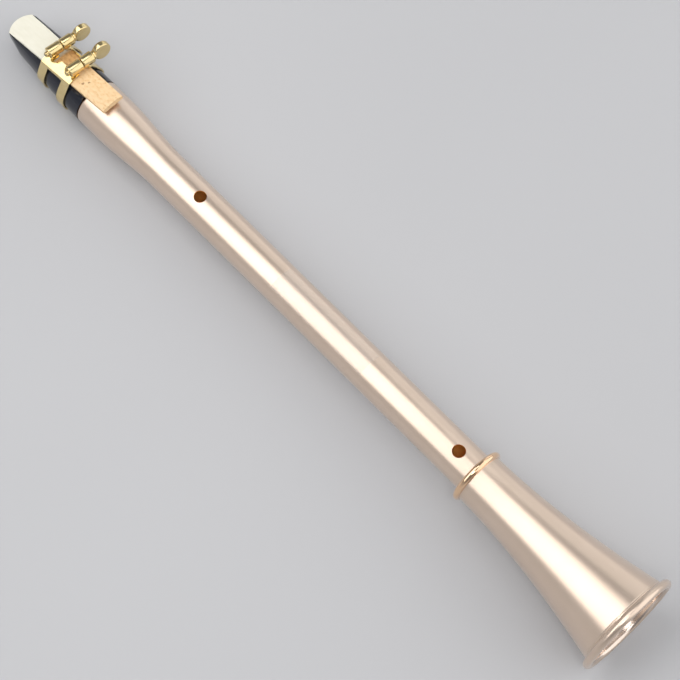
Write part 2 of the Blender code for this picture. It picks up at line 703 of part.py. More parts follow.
clear_scene()
PARTS = new_collection("pocket_saxophone")
CUTTERS = new_collection("cutters")
INSTRUMENT = new_empty("instrument", None, Matrix.Rotation(-rest_lean(), 4, "Y"))
CORK_AXIS = new_empty("tuning_axis", INSTRUMENT, Matrix.Identity(4))
MOUTHPIECE_AXIS = new_empty("mouthpiece_axis", CORK_AXIS, Matrix.Rotation(-MOUTHPIECE_TURN, 4, "X"))
REED_PLACE = Matrix.Translation((REED_OVERHANG, 0, REED_BUTT_Z)) @ Matrix.Rotation(-REED_ANGLE, 4, "Y")
REED_PLACE @= Matrix.Translation((-REED_PIVOT, 0, 0)) @ Matrix.Rotation(REED_SKEW, 4, "Z")
REED_PLACE @= Matrix.Translation((REED_PIVOT, 0, 0))
REED_AXIS = new_empty("reed_axis", MOUTHPIECE_AXIS, REED_PLACE)
LIGATURE_AXIS = new_empty("ligature_axis", MOUTHPIECE_AXIS, Matrix.Identity(4))

build_body_tube()
build_joint_ring()
build_bell_sleeve()
build_bell()
build_rim_wire()
build_mouthpiece()
build_tenon_cork()
build_reed()
build_ligature_band()
screws = (
    ("front", FRONT_BAND_X, FRONT_SCREW_SKEW, FRONT_HEAD_TURN),
    ("rear", REAR_BAND_X, REAR_SCREW_SKEW, REAR_HEAD_TURN),
)
for band, band_x, skew, head_turn in screws:
    screw_place = Matrix.Translation((band_x, 0, screw_z(band_x))) @ Matrix.Rotation(-skew, 4, "Z")
    screw_axis = new_empty(f"{band}_screw_axis", LIGATURE_AXIS, screw_place)
    build_post(f"post_{band}_left", screw_axis, LEFT_POST_START_Y, LEFT_POST_END_Y)
    build_post(f"post_{band}_right", screw_axis, RIGHT_POST_START_Y, RIGHT_POST_END_Y)
    build_thumbscrew(f"thumbscrew_{band}", screw_axis, head_turn)
set_on_floor()
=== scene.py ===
"""Looks of the pocket saxophone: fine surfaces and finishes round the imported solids."""
import json
import math

import bmesh
import bpy
from mathutils import Matrix, Vector

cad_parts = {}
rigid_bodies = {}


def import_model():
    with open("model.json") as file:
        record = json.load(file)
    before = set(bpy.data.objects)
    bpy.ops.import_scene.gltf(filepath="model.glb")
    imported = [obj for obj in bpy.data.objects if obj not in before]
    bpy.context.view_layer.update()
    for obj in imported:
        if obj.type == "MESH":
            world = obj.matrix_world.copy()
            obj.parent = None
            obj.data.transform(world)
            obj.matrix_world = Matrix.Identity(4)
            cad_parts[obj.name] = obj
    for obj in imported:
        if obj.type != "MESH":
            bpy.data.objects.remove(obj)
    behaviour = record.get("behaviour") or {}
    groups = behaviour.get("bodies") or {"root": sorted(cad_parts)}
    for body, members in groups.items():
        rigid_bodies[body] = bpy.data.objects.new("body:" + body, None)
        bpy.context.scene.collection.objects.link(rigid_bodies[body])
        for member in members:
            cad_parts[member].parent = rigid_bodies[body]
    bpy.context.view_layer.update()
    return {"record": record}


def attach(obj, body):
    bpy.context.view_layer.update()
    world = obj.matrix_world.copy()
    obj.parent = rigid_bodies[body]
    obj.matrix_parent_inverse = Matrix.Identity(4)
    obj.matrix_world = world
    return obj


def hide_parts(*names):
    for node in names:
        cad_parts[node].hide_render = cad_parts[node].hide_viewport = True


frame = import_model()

# Fits and fineness
GAP = 0.0003
MERGE = 0.00001
SEGMENTS = 160
SMALL_SEGMENTS = 48

# Body tube and its socket
TUBE_RADIUS = 0.0104
TUBE_WALL = 0.0010
BODY_REACH = 0.2720
SOCKET_RADIUS = 0.0127
SOCKET_WALL = 0.0012
SOCKET_DEPTH = 0.0205
SOCKET_TAPER_START = 0.0130
SOCKET_TAPER_END = 0.0535
LIP_ROUNDING = 0.0008

# Tone holes, their places as shares of the body's reach
THUMB_HOLE_SHARE = 0.2886
THUMB_HOLE_RADIUS = 0.00325
VENT_HOLE_SHARE = 0.9478
VENT_HOLE_RADIUS = 0.00335
FINGER_HOLE_SHARES = (0.3548, 0.4320, 0.5202, 0.6195, 0.6893, 0.7702)
FINGER_HOLE_RADIUS = 0.0038
LITTLE_FINGER_HOLE_SHARE = 0.8658
LITTLE_FINGER_HOLE_RADIUS = 0.0033
LITTLE_FINGER_SIDE_ANGLE = math.radians(15)

# Joint of tube and bell
RING_WIDTH = 0.0035
RING_RADIUS = 0.0150
SLEEVE_LENGTH = 0.0140

# Bell
BELL_LENGTH = 0.0978 - 0.00004
BELL_THROAT_RADIUS = 0.0131
BELL_WALL = 0.0008
BELL_FLARE_POWER = 1.75
RIM_RADIUS = 0.0280 * math.cos(math.pi / 40)
ROLL_RADIUS = 0.0021 * math.cos(math.radians(10))
ROLL_TURN = math.radians(280)

# Mouthpiece
MOUTHPIECE_TURN = math.radians(2)
MOUTHPIECE_LENGTH = 0.0602
BARREL_LENGTH = 0.0128
TIP_RADIUS = 0.0091
TENON_RADIUS = 0.0097
TENON_COLLAR_LENGTH = 0.0016
CORK_INSET = 0.0015
BORE_RADIUS = 0.0072
BORE_END_X = -0.0300
PLATFORM_HALF_WIDTH = 0.0079
BEAK_LENGTH = 0.0350
TIP_THICKNESS = 0.0012
TIP_OPENING = 0.0019
TIP_RAIL = 0.0020
FACING_LENGTH = 0.0240
WINDOW_LENGTH = 0.0380
WINDOW_HALF_WIDTH = 0.0056
CHAMBER_HALF_HEIGHT = 0.0070
BAFFLE_WALL = 0.0013

# Reed
REED_ANGLE = math.radians(7)
REED_SKEW = math.radians(0.7)
REED_PIVOT = 0.0225
REED_OVERHANG = 0.0144
REED_LENGTH = 0.0746
REED_THICKNESS = 0.0031
REED_EDGE = 0.0014
REED_BUTT_HALF_WIDTH = 0.0062
REED_TIP_HALF_WIDTH = 0.0076
REED_TIP_THICKNESS = 0.0002
REED_TIP_CROWN = 0.0033
VAMP_LENGTH = 0.0340
VAMP_POWER = 1.15

# Ligature
SHEET = 0.0007
BAND_WIDTH = 0.0053
REAR_BAND_X = -0.01235
FRONT_BAND_X = -0.02805
BAND_STEP = math.radians(5)
SPLIT_LEFT_Y = -0.0005
SPLIT_RIGHT_Y = 0.0050
STRIP_LEFT_Y = -0.0043
STRIP_RIGHT_Y = 0.0066
TAB_RISE = 0.0026
TAB_LENGTH = 0.0034
TAB_BASE_LENGTH = 0.0058
STRIP_LIFT = 0.0011
LIP_X = -0.0197
LIP_LENGTH = 0.0031

# Posts and thumbscrews
POST_RADIUS = 0.0031
LEFT_POST_START_Y = -0.0049
LEFT_POST_END_Y = 0.0028
RIGHT_POST_START_Y = 0.0032
RIGHT_POST_END_Y = 0.0098
SCREW_RADIUS = 0.0015
SCREW_TAIL = 0.0018
COLLAR_RADIUS = 0.0024
COLLAR_LENGTH = 0.0008
NECK_RADIUS = 0.0018
HEAD_CENTRE_Y = 0.0152
HEAD_RADIUS = 0.0048
HEAD_THICKNESS = 0.0034
HEAD_ROUNDING = 0.0007
FRONT_SCREW_SKEW = math.radians(5.5)
REAR_SCREW_SKEW = math.radians(4)
FRONT_HEAD_TURN = math.radians(4)
REAR_HEAD_TURN = math.radians(8.5)

# Places that follow from the sizes above
BELL_START_X = BODY_REACH
RIM_END_X = BELL_START_X + BELL_LENGTH
ROLL_X = RIM_END_X - ROLL_RADIUS
ROLL_CENTRE_RADIUS = RIM_RADIUS - ROLL_RADIUS
TUBE_END_X = BELL_START_X + SLEEVE_LENGTH
TUBE_BORE = TUBE_RADIUS - TUBE_WALL
SOCKET_BORE = SOCKET_RADIUS - SOCKET_WALL
TENON_END_X = SOCKET_DEPTH - 2 * GAP
CORK_END_X = TENON_END_X - TENON_COLLAR_LENGTH - GAP
CORK_RADIUS = SOCKET_BORE - GAP
SHOULDER_X = -GAP
TIP_X = -MOUTHPIECE_LENGTH
REED_SLOPE = math.tan(REED_ANGLE)
REED_BUTT_Z = SOCKET_RADIUS + GAP + (REED_OVERHANG - LIP_ROUNDING) * REED_SLOPE
ARCH_RISE = REED_THICKNESS - REED_EDGE
ARCH_RADIUS = (REED_BUTT_HALF_WIDTH ** 2 + ARCH_RISE ** 2) / (2 * ARCH_RISE) + 0.0040

# Turning an object's own Z to the instrument's X or Y, and a drawn outline to a cut's plane
TO_X = Matrix.Rotation(math.radians(90), 4, "Y")
TO_Y = Matrix.Rotation(math.radians(-90), 4, "X")
SIDE_VIEW = Matrix.Rotation(math.radians(90), 4, "X")
END_VIEW = Matrix(((0, 0, 1, 0), (1, 0, 0, 0), (0, 1, 0, 0), (0, 0, 0, 1)))


def new_collection(name):
    """A collection under the scene's own."""
    collection = bpy.data.collections.new(name)
    bpy.context.scene.collection.children.link(collection)
    return collection


def start_material(name, colour, metallic, roughness):
    """A Principled material and its node tree, with a pattern's coordinates ready."""
    material = bpy.data.materials.new(name)
    material.use_nodes = True
    tree = material.node_tree
    shader = tree.nodes["Principled BSDF"]
    shader.inputs["Base Color"].default_value = (*colour, 1.0)
    shader.inputs["Metallic"].default_value = metallic
    shader.inputs["Roughness"].default_value = roughness
    place = tree.nodes.new("ShaderNodeTexCoord")
    return material, tree, shader, place.outputs["Object"]


def noise(tree, where, scale, detail, stretch=(1, 1, 1)):
    """A noise pattern over the object's own coordinates."""
    mapping = tree.nodes.new("ShaderNodeMapping")
    mapping.inputs["Scale"].default_value = stretch
    tree.links.new(where, mapping.inputs["Vector"])
    texture = tree.nodes.new("ShaderNodeTexNoise")
    texture.inputs["Scale"].default_value = scale
    texture.inputs["Detail"].default_value = detail
    tree.links.new(mapping.outputs["Vector"], texture.inputs["Vector"])
    return texture.outputs["Fac"]


def ramp(tree, value, stops):
    """A colour ramp through (place, colour) stops."""
    node = tree.nodes.new("ShaderNodeValToRGB")
    elements = node.color_ramp.elements
    while len(elements) < len(stops):
        elements.new(0.5)
    for element, (place, colour) in zip(elements, stops):
        element.position = place
        element.color = (*colour, 1.0)
    tree.links.new(value, node.inputs["Fac"])
    return node.outputs["Color"]


def blend_colours(tree, share, first, second):
    """Go from the first colour to the second by a share."""
    node = tree.nodes.new("ShaderNodeMix")
    node.data_type = "RGBA"
    tree.links.new(share, node.inputs["Factor"])
    for colour, socket in ((first, node.inputs[6]), (second, node.inputs[7])):
        if isinstance(colour, tuple):
            socket.default_value = colour
        else:
            tree.links.new(colour, socket)
    return node.outputs[2]


def spread(tree, value, low, high):
    """Spread a pattern's value between two roughnesses."""
    node = tree.nodes.new("ShaderNodeMapRange")
    node.inputs["To Min"].default_value = low
    node.inputs["To Max"].default_value = high
    tree.links.new(value, node.inputs["Value"])
    return node.outputs["Result"]


def stretch_between(tree, split, start, end):
    """A share that goes from 0 to 1 between two places along the instrument."""
    node = tree.nodes.new("ShaderNodeMapRange")
    node.inputs["From Min"].default_value = (PLACE @ Vector((start, 0, 0))).x
    node.inputs["From Max"].default_value = (PLACE @ Vector((end, 0, 0))).x
    tree.links.new(split.outputs["X"], node.inputs["Value"])
    return node.outputs["Result"]


def bump(tree, shader, height, strength, distance):
    """Raise the surface by a pattern."""
    node = tree.nodes.new("ShaderNodeBump")
    node.inputs["Strength"].default_value = strength
    node.inputs["Distance"].default_value = distance
    tree.links.new(height, node.inputs["Height"])
    tree.links.new(node.outputs["Normal"], shader.inputs["Normal"])


def satin_lacquer():
    """Champagne lacquer with a satin, slightly mottled sheen."""
    material, tree, shader, where = start_material("satin_lacquer", (0.725, 0.56, 0.43), 0.88, 0.30)
    shader.inputs["Coat Weight"].default_value = 1.0
    shader.inputs["Coat Roughness"].default_value = 0.36
    shader.inputs["Coat IOR"].default_value = 1.9
    cloud = noise(tree, where, 60, 4)
    colour = ramp(tree, cloud, [(0.3, (0.71, 0.545, 0.415)), (0.7, (0.74, 0.575, 0.445))])
    tree.links.new(colour, shader.inputs["Base Color"])
    grain = noise(tree, where, 1600, 4)
    tree.links.new(spread(tree, grain, 0.26, 0.34), shader.inputs["Roughness"])
    bump(tree, shader, grain, 0.03, 0.0001)
    return material


def polished_gold():
    """Gold lacquer over polished brass."""
    material, tree, shader, where = start_material("mirror_gold", (0.78, 0.62, 0.32), 1.0, 0.16)
    cloud = noise(tree, where, 250, 3)
    colour = ramp(tree, cloud, [(0.35, (0.75, 0.59, 0.295)), (0.65, (0.81, 0.65, 0.345))])
    tree.links.new(colour, shader.inputs["Base Color"])
    fine = noise(tree, where, 1400, 4)
    tree.links.new(spread(tree, fine, 0.12, 0.22), shader.inputs["Roughness"])
    return material


def rose_bead():
    """Warm lacquer over the polished joint ring."""
    material, tree, shader, where = start_material("rose_bead", (0.88, 0.57, 0.33), 1.0, 0.08)
    shader.inputs["Coat Weight"].default_value = 1.0
    shader.inputs["Coat Roughness"].default_value = 0.06
    shader.inputs["Coat IOR"].default_value = 1.8
    cloud = noise(tree, where, 300, 3)
    colour = ramp(tree, cloud, [(0.3, (0.86, 0.545, 0.305)), (0.7, (0.90, 0.595, 0.355))])
    tree.links.new(colour, shader.inputs["Base Color"])
    tree.links.new(spread(tree, cloud, 0.05, 0.11), shader.inputs["Roughness"])
    return material


def raw_brass():
    """Dull bare brass inside."""
    material, tree, shader, where = start_material("bare_brass", (0.97, 0.43, 0.085), 0.1, 0.6)
    cloud = noise(tree, where, 120, 5)
    colour = ramp(tree, cloud, [(0.3, (0.95, 0.40, 0.07)), (0.7, (0.99, 0.46, 0.10))])
    tree.links.new(colour, shader.inputs["Base Color"])
    bump(tree, shader, cloud, 0.1, 0.0001)
    return material


def bell_inside():
    """The darker, unpolished inside of the bell."""
    material, tree, shader, where = start_material("bell_inside", (0.78, 0.66, 0.57), 1.0, 0.22)
    cloud = noise(tree, where, 90, 5)
    colour = ramp(tree, cloud, [(0.3, (0.74, 0.62, 0.53)), (0.7, (0.82, 0.70, 0.61))])
    tree.links.new(colour, shader.inputs["Base Color"])
    tree.links.new(spread(tree, cloud, 0.17, 0.27), shader.inputs["Roughness"])
    return material


def gloss_black():
    """Moulded bluish black with faint handling marks."""
    material, tree, shader, where = start_material("moulded_black", (0.010, 0.012, 0.020), 0.0, 0.10)
    marks = noise(tree, where, 180, 6, (1, 4, 4))
    tree.links.new(spread(tree, marks, 0.06, 0.18), shader.inputs["Roughness"])
    bump(tree, shader, marks, 0.04, 0.0001)
    return material


def cane():
    """Cane: cream where it is cut, mottled orange where the bark is left, with painted shade darkening
    the bark between the ligature's posts.
    """
    material, tree, shader, where = start_material("cut_cane", (0.85, 0.70, 0.45), 0.0, 0.5)
    split = tree.nodes.new("ShaderNodeSeparateXYZ")
    tree.links.new(where, split.inputs["Vector"])
    fibres = noise(tree, where, 700, 5, (0.04, 1, 1))
    cut = ramp(tree, fibres, [(0.3, (0.83, 0.80, 0.66)), (0.7, (0.88, 0.85, 0.72))])
    blotches = noise(tree, where, 800, 4, (0.6, 1, 1))
    bark = ramp(tree, blotches, [(0.28, (0.74, 0.45, 0.20)), (0.42, (0.87, 0.59, 0.31)),
                                 (0.65, (0.92, 0.67, 0.39))])
    spots = noise(tree, where, 260, 1)
    bark = blend_colours(tree, ramp(tree, spots, [(0.70, (0, 0, 0)), (0.74, (0.8, 0.8, 0.8))]),
                         bark, (0.34, 0.15, 0.05, 1.0))
    # Painted shade: the bark is darker brown from where it starts to between the ligature's posts, then
    # fades to plain bark. It stands in for the posts' shadow and the light the gold reflects onto it.
    painted_post_shade = ramp(tree, blotches, [(0.35, (0.50, 0.26, 0.09)), (0.60, (0.68, 0.40, 0.16))])
    bark = blend_colours(tree, stretch_between(tree, split, BARK_X + 0.006, BARK_X + 0.011), painted_post_shade, bark)
    colour = blend_colours(tree, stretch_between(tree, split, BARK_X - 0.001, BARK_X + 0.001), cut, bark)
    tree.links.new(colour, shader.inputs["Base Color"])
    tree.links.new(spread(tree, fibres, 0.38, 0.55), shader.inputs["Roughness"])
    bump(tree, shader, fibres, 0.2, 0.0001)
    return material


def natural_cork():
    """Cork with its dark flecks."""
    material, tree, shader, where = start_material("natural_cork", (0.5, 0.3, 0.16), 0.0, 0.85)
    flecks = noise(tree, where, 600, 6)
    colour = ramp(tree, flecks, [(0.35, (0.20, 0.10, 0.05)), (0.5, (0.50, 0.31, 0.17))])
    tree.links.new(colour, shader.inputs["Base Color"])
    bump(tree, shader, flecks, 0.3, 0.0002)
    return material


def clear_film():
    """A clear film with a faint milky sheen."""
    material, tree, shader, where = start_material("clear_film", (0.92, 0.90, 0.88), 0.0, 0.10)
    shader.inputs["Alpha"].default_value = 0.06
    ripple = noise(tree, where, 140, 2)
    bump(tree, shader, ripple, 0.08, 0.0001)
    return material


# The instrument's own frame, from the joint that the mouthpiece turns on
BARK_X = REED_OVERHANG - (REED_LENGTH - VAMP_LENGTH) * math.cos(REED_ANGLE)
JOINTS = {joint["name"]: joint for joint in frame["record"]["behaviour"]["joints"]}
ALONG = Vector(JOINTS["mouthpiece_turn"]["axis"])
ACROSS = Vector((0, 1, 0))
PLACE = Matrix.Translation(JOINTS["mouthpiece_turn"]["pos_m"]) @ Matrix(
    (ALONG, ACROSS, ALONG.cross(ACROSS))).transposed().to_4x4()
PARTS = new_collection("dressing")
CUTTERS = new_collection("cutters")
LACQUER = satin_lacquer()
GOLD = polished_gold()
ROSE = rose_bead()
BRASS = raw_brass()
INSIDE = bell_inside()
BLACK = gloss_black()
CANE = cane()
CORK = natural_cork()
FILM = clear_film()


def new_empty(name, parent, matrix):
    """An empty that carries pieces while they are made."""
    empty = bpy.data.objects.new(name, None)
    PARTS.objects.link(empty)
    empty.parent = parent
    empty.matrix_basis = matrix
    return empty


def add_object(name, mesh, collection, parent, matrix):
    """Put a mesh into a collection under its parent."""
    obj = bpy.data.objects.new(name, mesh)
    collection.objects.link(obj)
    obj.parent = parent
    obj.matrix_basis = matrix
    if collection is CUTTERS:
        obj.hide_render = True
        obj.display_type = "WIRE"
    return obj


def finish_piece(obj, finish):
    """Give a piece its own material and smooth round faces."""
    obj.data.materials.append(finish)
    obj.data.shade_smooth()
    obj.data.set_sharp_from_angle(angle=math.radians(35))
    return obj


def turned(name, profile, collection, parent, matrix, closed, steps=SEGMENTS):
    """Turn a profile of (height, radius) points round its own Z.

    A closed profile makes a ring, an open one starts and ends on the axis. The points run
    down the outer side.
    """
    mesh = bpy.data.meshes.new(name)
    points = [(radius, 0.0, height) for height, radius in profile]
    count = len(points)
    edges = [(i, (i + 1) % count) for i in range(count if closed else count - 1)]
    mesh.from_pydata(points, edges, [])
    half_step = Matrix.Rotation(math.pi / steps, 4, "Z")
    obj = add_object(name, mesh, collection, parent, matrix @ half_step)
    screw = obj.modifiers.new("turn", "SCREW")
    screw.axis = "Z"
    screw.angle = 2 * math.pi
    screw.steps = steps
    screw.render_steps = steps
    screw.use_merge_vertices = True
    screw.merge_threshold = MERGE
    screw.use_smooth_shade = True
    return obj


def outline_solid(name, outline, half_depth, collection, parent, matrix):
    """A flat outline made a plate of twice the half depth."""
    curve = bpy.data.curves.new(name, "CURVE")
    curve.dimensions = "2D"
    curve.fill_mode = "BOTH"
    curve.extrude = half_depth
    spline = curve.splines.new("POLY")
    spline.points.add(len(outline) - 1)
    for point, (across, up) in zip(spline.points, outline):
        point.co = (across, up, 0.0, 1.0)
    spline.use_cyclic_u = True
    drawn = bpy.data.objects.new(name + "_drawn", curve)
    CUTTERS.objects.link(drawn)
    depsgraph = bpy.context.evaluated_depsgraph_get()
    mesh = bpy.data.meshes.new_from_object(drawn.evaluated_get(depsgraph))
    mesh.name = name
    bpy.data.objects.remove(drawn, do_unlink=True)
    weld = bmesh.new()
    weld.from_mesh(mesh)
    bmesh.ops.remove_doubles(weld, verts=weld.verts, dist=MERGE)
    bmesh.ops.recalc_face_normals(weld, faces=weld.faces)
    weld.to_mesh(mesh)
    weld.free()
    return add_object(name, mesh, collection, parent, matrix)


def round_cutter(name, radius, depth, parent, matrix, segments=SMALL_SEGMENTS):
    """A plain cylinder along its own Z, to cut or cross another piece."""
    mesh = bpy.data.meshes.new(name)
    shape = bmesh.new()
    bmesh.ops.create_cone(shape, cap_ends=True, segments=segments,
                          radius1=radius, radius2=radius, depth=depth)
    shape.to_mesh(mesh)
    shape.free()
    return add_object(name, mesh, CUTTERS, parent, matrix)


def boolean(obj, other, operation):
    """Cut, join or cross a piece with a cutter."""
    modifier = obj.modifiers.new(other.name, "BOOLEAN")
    modifier.operation = operation
    modifier.object = other
    modifier.solver = "EXACT"


def arc(centre_x, centre_y, radius, start, end, count):
    """Points of an arc, both ends included."""
    points = []
    for i in range(count + 1):
        angle = start + (end - start) * i / count
        points.append((centre_x + radius * math.cos(angle), centre_y + radius * math.sin(angle)))
    return points


class Rule:
    """A Geometry Nodes tree with named inputs, whose numbers are written as formulas."""

    def __init__(self, name, sizes):
        self.tree = bpy.data.node_groups.new(name, "GeometryNodeTree")
        self.tree.interface.new_socket("Geometry", in_out="OUTPUT", socket_type="NodeSocketGeometry")
        self.sizes = {}
        self.start = self.tree.nodes.new("NodeGroupInput")
        for label, size in sizes.items():
            kind = "NodeSocketMaterial"
            if isinstance(size, (int, float)):
                kind = "NodeSocketInt" if isinstance(size, int) else "NodeSocketFloat"
            socket = self.tree.interface.new_socket(label, in_out="INPUT", socket_type=kind)
            self.sizes[socket.identifier] = size

    def put(self, source, socket):
        """Link a number or a node's output to a socket, or set it to a plain value."""
        if isinstance(source, Number):
            source = source.socket
        if isinstance(source, bpy.types.NodeSocket):
            self.tree.links.new(source, socket)
        else:
            socket.default_value = source

    def given(self, label):
        """One of the tree's named inputs, as a number."""
        return Number(self, self.start.outputs[label])

    def node(self, kind, sources, **settings):
        """A node with its inputs filled in by name, and its first output."""
        node = self.tree.nodes.new(kind)
        for key, setting in settings.items():
            setattr(node, key, setting)
        for name, source in sources.items():
            self.put(source, node.inputs[name])
        return node.outputs[0]

    def choose(self, part, numbers):
        """The number that belongs to the part of the outline."""
        switch = self.tree.nodes.new("GeometryNodeIndexSwitch")
        switch.data_type = "FLOAT"
        while len(switch.index_switch_items) < len(numbers):
            switch.index_switch_items.new()
        self.put(part, switch.inputs["Index"])
        for place, number in enumerate(numbers):
            self.put(number, switch.inputs[str(place)])
        return Number(self, switch.outputs[0])

    def end(self, geometry, finish):
        """Close the tree: one plain mesh with its material."""
        plain = self.node("GeometryNodeRealizeInstances", {"Geometry": geometry})
        dressed = self.node("GeometryNodeSetMaterial", {"Geometry": plain, "Material": finish.socket})
        out = self.tree.nodes.new("NodeGroupOutput")
        self.tree.links.new(dressed, out.inputs["Geometry"])

    def make(self, name, parent, matrix):
        """An object that the tree shapes with the sizes it was given."""
        obj = add_object(name, bpy.data.meshes.new(name), PARTS, parent, matrix)
        modifier = obj.modifiers.new("rule", "NODES")
        modifier.node_group = self.tree
        for identifier, size in self.sizes.items():
            modifier[identifier] = size
        return obj


class Number:
    """A number that a rule's Math nodes work out."""

    def __init__(self, rule, socket):
        self.rule = rule
        self.socket = socket

    def worked(self, operation, *others):
        """This number and others put through one Math node."""
        node = self.rule.tree.nodes.new("ShaderNodeMath")
        node.operation = operation
        for source, socket in zip((self, *others), node.inputs):
            self.rule.put(source, socket)
        return Number(self.rule, node.outputs[0])

    def __add__(self, other):
        return self.worked("ADD", other)

    def __sub__(self, other):
        return self.worked("SUBTRACT", other)

    def __mul__(self, other):
        return self.worked("MULTIPLY", other)

    def __truediv__(self, other):
        return self.worked("DIVIDE", other)

    def __pow__(self, other):
        return self.worked("POWER", other)

    def __neg__(self):
        return self * -1.0


def build_body_tube():
    """The tube with its widened socket, its bore and nine tone holes."""
    outer = [(TUBE_END_X, TUBE_RADIUS)]
    taper_steps = 32
    for i in range(taper_steps + 1):
        share = 1 - i / taper_steps
        x = SOCKET_TAPER_START + (SOCKET_TAPER_END - SOCKET_TAPER_START) * share
        swell = (1 + math.cos(math.pi * share)) / 2
        outer.append((x, TUBE_RADIUS + (SOCKET_RADIUS - TUBE_RADIUS) * swell))
    lip_centre = SOCKET_RADIUS - LIP_ROUNDING
    lip = arc(LIP_ROUNDING, lip_centre, LIP_ROUNDING, math.radians(90), math.radians(180), 8)
    inner = [
        (0.0, SOCKET_BORE),
        (SOCKET_DEPTH, SOCKET_BORE),
        (SOCKET_TAPER_END - TUBE_RADIUS / 2, TUBE_BORE),
        (TUBE_END_X, TUBE_BORE),
    ]
    tube = turned("body_tube", outer + lip + inner, PARTS, INSTRUMENT, TO_X, closed=True)
    holes = [("thumb_hole", THUMB_HOLE_SHARE, THUMB_HOLE_RADIUS, 0.0)]
    holes.append(("vent_hole", VENT_HOLE_SHARE, VENT_HOLE_RADIUS, 0.0))
    for number, share in enumerate(FINGER_HOLE_SHARES, start=1):
        holes.append((f"finger_hole_{number}", share, FINGER_HOLE_RADIUS, math.pi))
    side = math.pi + LITTLE_FINGER_SIDE_ANGLE
    holes.append(("finger_hole_7", LITTLE_FINGER_HOLE_SHARE, LITTLE_FINGER_HOLE_RADIUS, side))
    for name, share, radius, angle in holes:
        around = Matrix.Rotation(angle, 4, "X")
        out = Matrix.Translation((0, 0, TUBE_RADIUS))
        where = Matrix.Translation((share * BODY_REACH, 0, 0)) @ around @ out
        boolean(tube, round_cutter(name, radius, TUBE_RADIUS, INSTRUMENT, where), "DIFFERENCE")
    return finish_piece(tube, LACQUER)


def build_joint_ring():
    """The bead that closes the step from the tube to the bell."""
    high = BELL_START_X
    low = high - RING_WIDTH
    half = RING_WIDTH / 2
    bead = arc((high + low) / 2, RING_RADIUS - half, half, 0.0, math.pi, 24)
    bore = TUBE_RADIUS + GAP
    profile = [(high, bore)] + bead + [(low, bore)]
    ring = turned("joint_ring", profile, PARTS, INSTRUMENT, TO_X, closed=True)
    return finish_piece(ring, ROSE)


def build_bell_sleeve():
    """The bush that fills the space between the tube's end and the bell's throat."""
    outer = BELL_THROAT_RADIUS - BELL_WALL - GAP
    inner = TUBE_RADIUS + GAP
    profile = [
        (TUBE_END_X, outer),
        (BELL_START_X, outer),
        (BELL_START_X, inner),
        (TUBE_END_X, inner),
    ]
    sleeve = turned("bell_sleeve", profile, PARTS, INSTRUMENT, TO_X, closed=True)
    return finish_piece(sleeve, BRASS)


def bell_rule():
    """The bell's sheet: two skins of a power flare, and the rim rolled outwards.

    The outline is one closed line of four equal stretches: the outer skin from the rim to the
    throat, the inner skin back, the outside of the roll and the hollow inside it.
    """
    rule = Rule("bell_rule", {
        "Throat Radius": BELL_THROAT_RADIUS,
        "Lip Radius": ROLL_CENTRE_RADIUS - ROLL_RADIUS + BELL_WALL,
        "Flare Length": ROLL_X - ROLL_RADIUS - BELL_START_X,
        "Flare Power": BELL_FLARE_POWER,
        "Wall": BELL_WALL,
        "Roll Radius": ROLL_RADIUS,
        "Roll Turn": ROLL_TURN,
        "Edge Length": 0.0030,
        "Groove Depth": 0.00014,
        "Groove Width": 0.0003,
        "First Groove": 0.0004,
        "Second Groove": 0.0012,
        "Stations": 64,
        "Sides": SEGMENTS,
        "Finish": LACQUER,
    })
    throat = rule.given("Throat Radius")
    lip = rule.given("Lip Radius")
    length = rule.given("Flare Length")
    wall = rule.given("Wall")
    roll_radius = rule.given("Roll Radius")
    stations = rule.given("Stations")
    index = Number(rule, rule.node("GeometryNodeInputIndex", {}))
    part = (index / stations).worked("FLOOR")
    along = (index - part * stations) / (stations - 1.0)
    back = -along + 1.0

    edge = rule.given("Edge Length") / length
    fine = rule.choose(part, [back, along, 1.0, 1.0]) * 2.0
    share = fine.worked("MINIMUM", 1.0) * (-edge + 1.0) + (fine - 1.0).worked("MAXIMUM", 0.0) * edge
    flare_height = share * length
    flare_radius = throat + (lip - throat) * share ** rule.given("Flare Power")
    groove = None
    for label in ("First Groove", "Second Groove"):
        off = (length - rule.given(label) - flare_height).worked("ABSOLUTE")
        ridge = (-(off / rule.given("Groove Width")) + 1.0).worked("MAXIMUM", 0.0)
        groove = ridge if groove is None else groove + ridge
    grooved_radius = flare_radius - groove * rule.given("Groove Depth")

    turned_by = rule.choose(part, [0.0, 0.0, along, back]) * rule.given("Roll Turn") - math.pi / 2
    hollow_radius = rule.choose(part, [0.0, 0.0, roll_radius, roll_radius - wall])
    roll_height = length + roll_radius + hollow_radius * turned_by.worked("COSINE")
    roll_middle = lip - wall + roll_radius
    rolled_radius = roll_middle + hollow_radius * turned_by.worked("SINE")
    height = rule.choose(part, [flare_height, flare_height, roll_height, roll_height])
    radius = rule.choose(part, [grooved_radius, flare_radius - wall, rolled_radius, rolled_radius])

    line = rule.node("GeometryNodeMeshLine", {"Count": stations * 4.0})
    place = rule.node("ShaderNodeCombineXYZ", {"X": radius - throat, "Y": -height})
    line = rule.node("GeometryNodeSetPosition", {"Geometry": line, "Position": place})
    outline = rule.node("GeometryNodeMeshToCurve", {"Mesh": line})
    outline = rule.node("GeometryNodeSetSplineCyclic", {"Geometry": outline, "Cyclic": True})
    circle = rule.node("GeometryNodeCurvePrimitiveCircle",
                       {"Resolution": rule.given("Sides"), "Radius": throat})
    sheet = rule.node("GeometryNodeCurveToMesh", {"Curve": circle, "Profile Curve": outline})
    rule.end(sheet, rule.given("Finish"))
    return rule


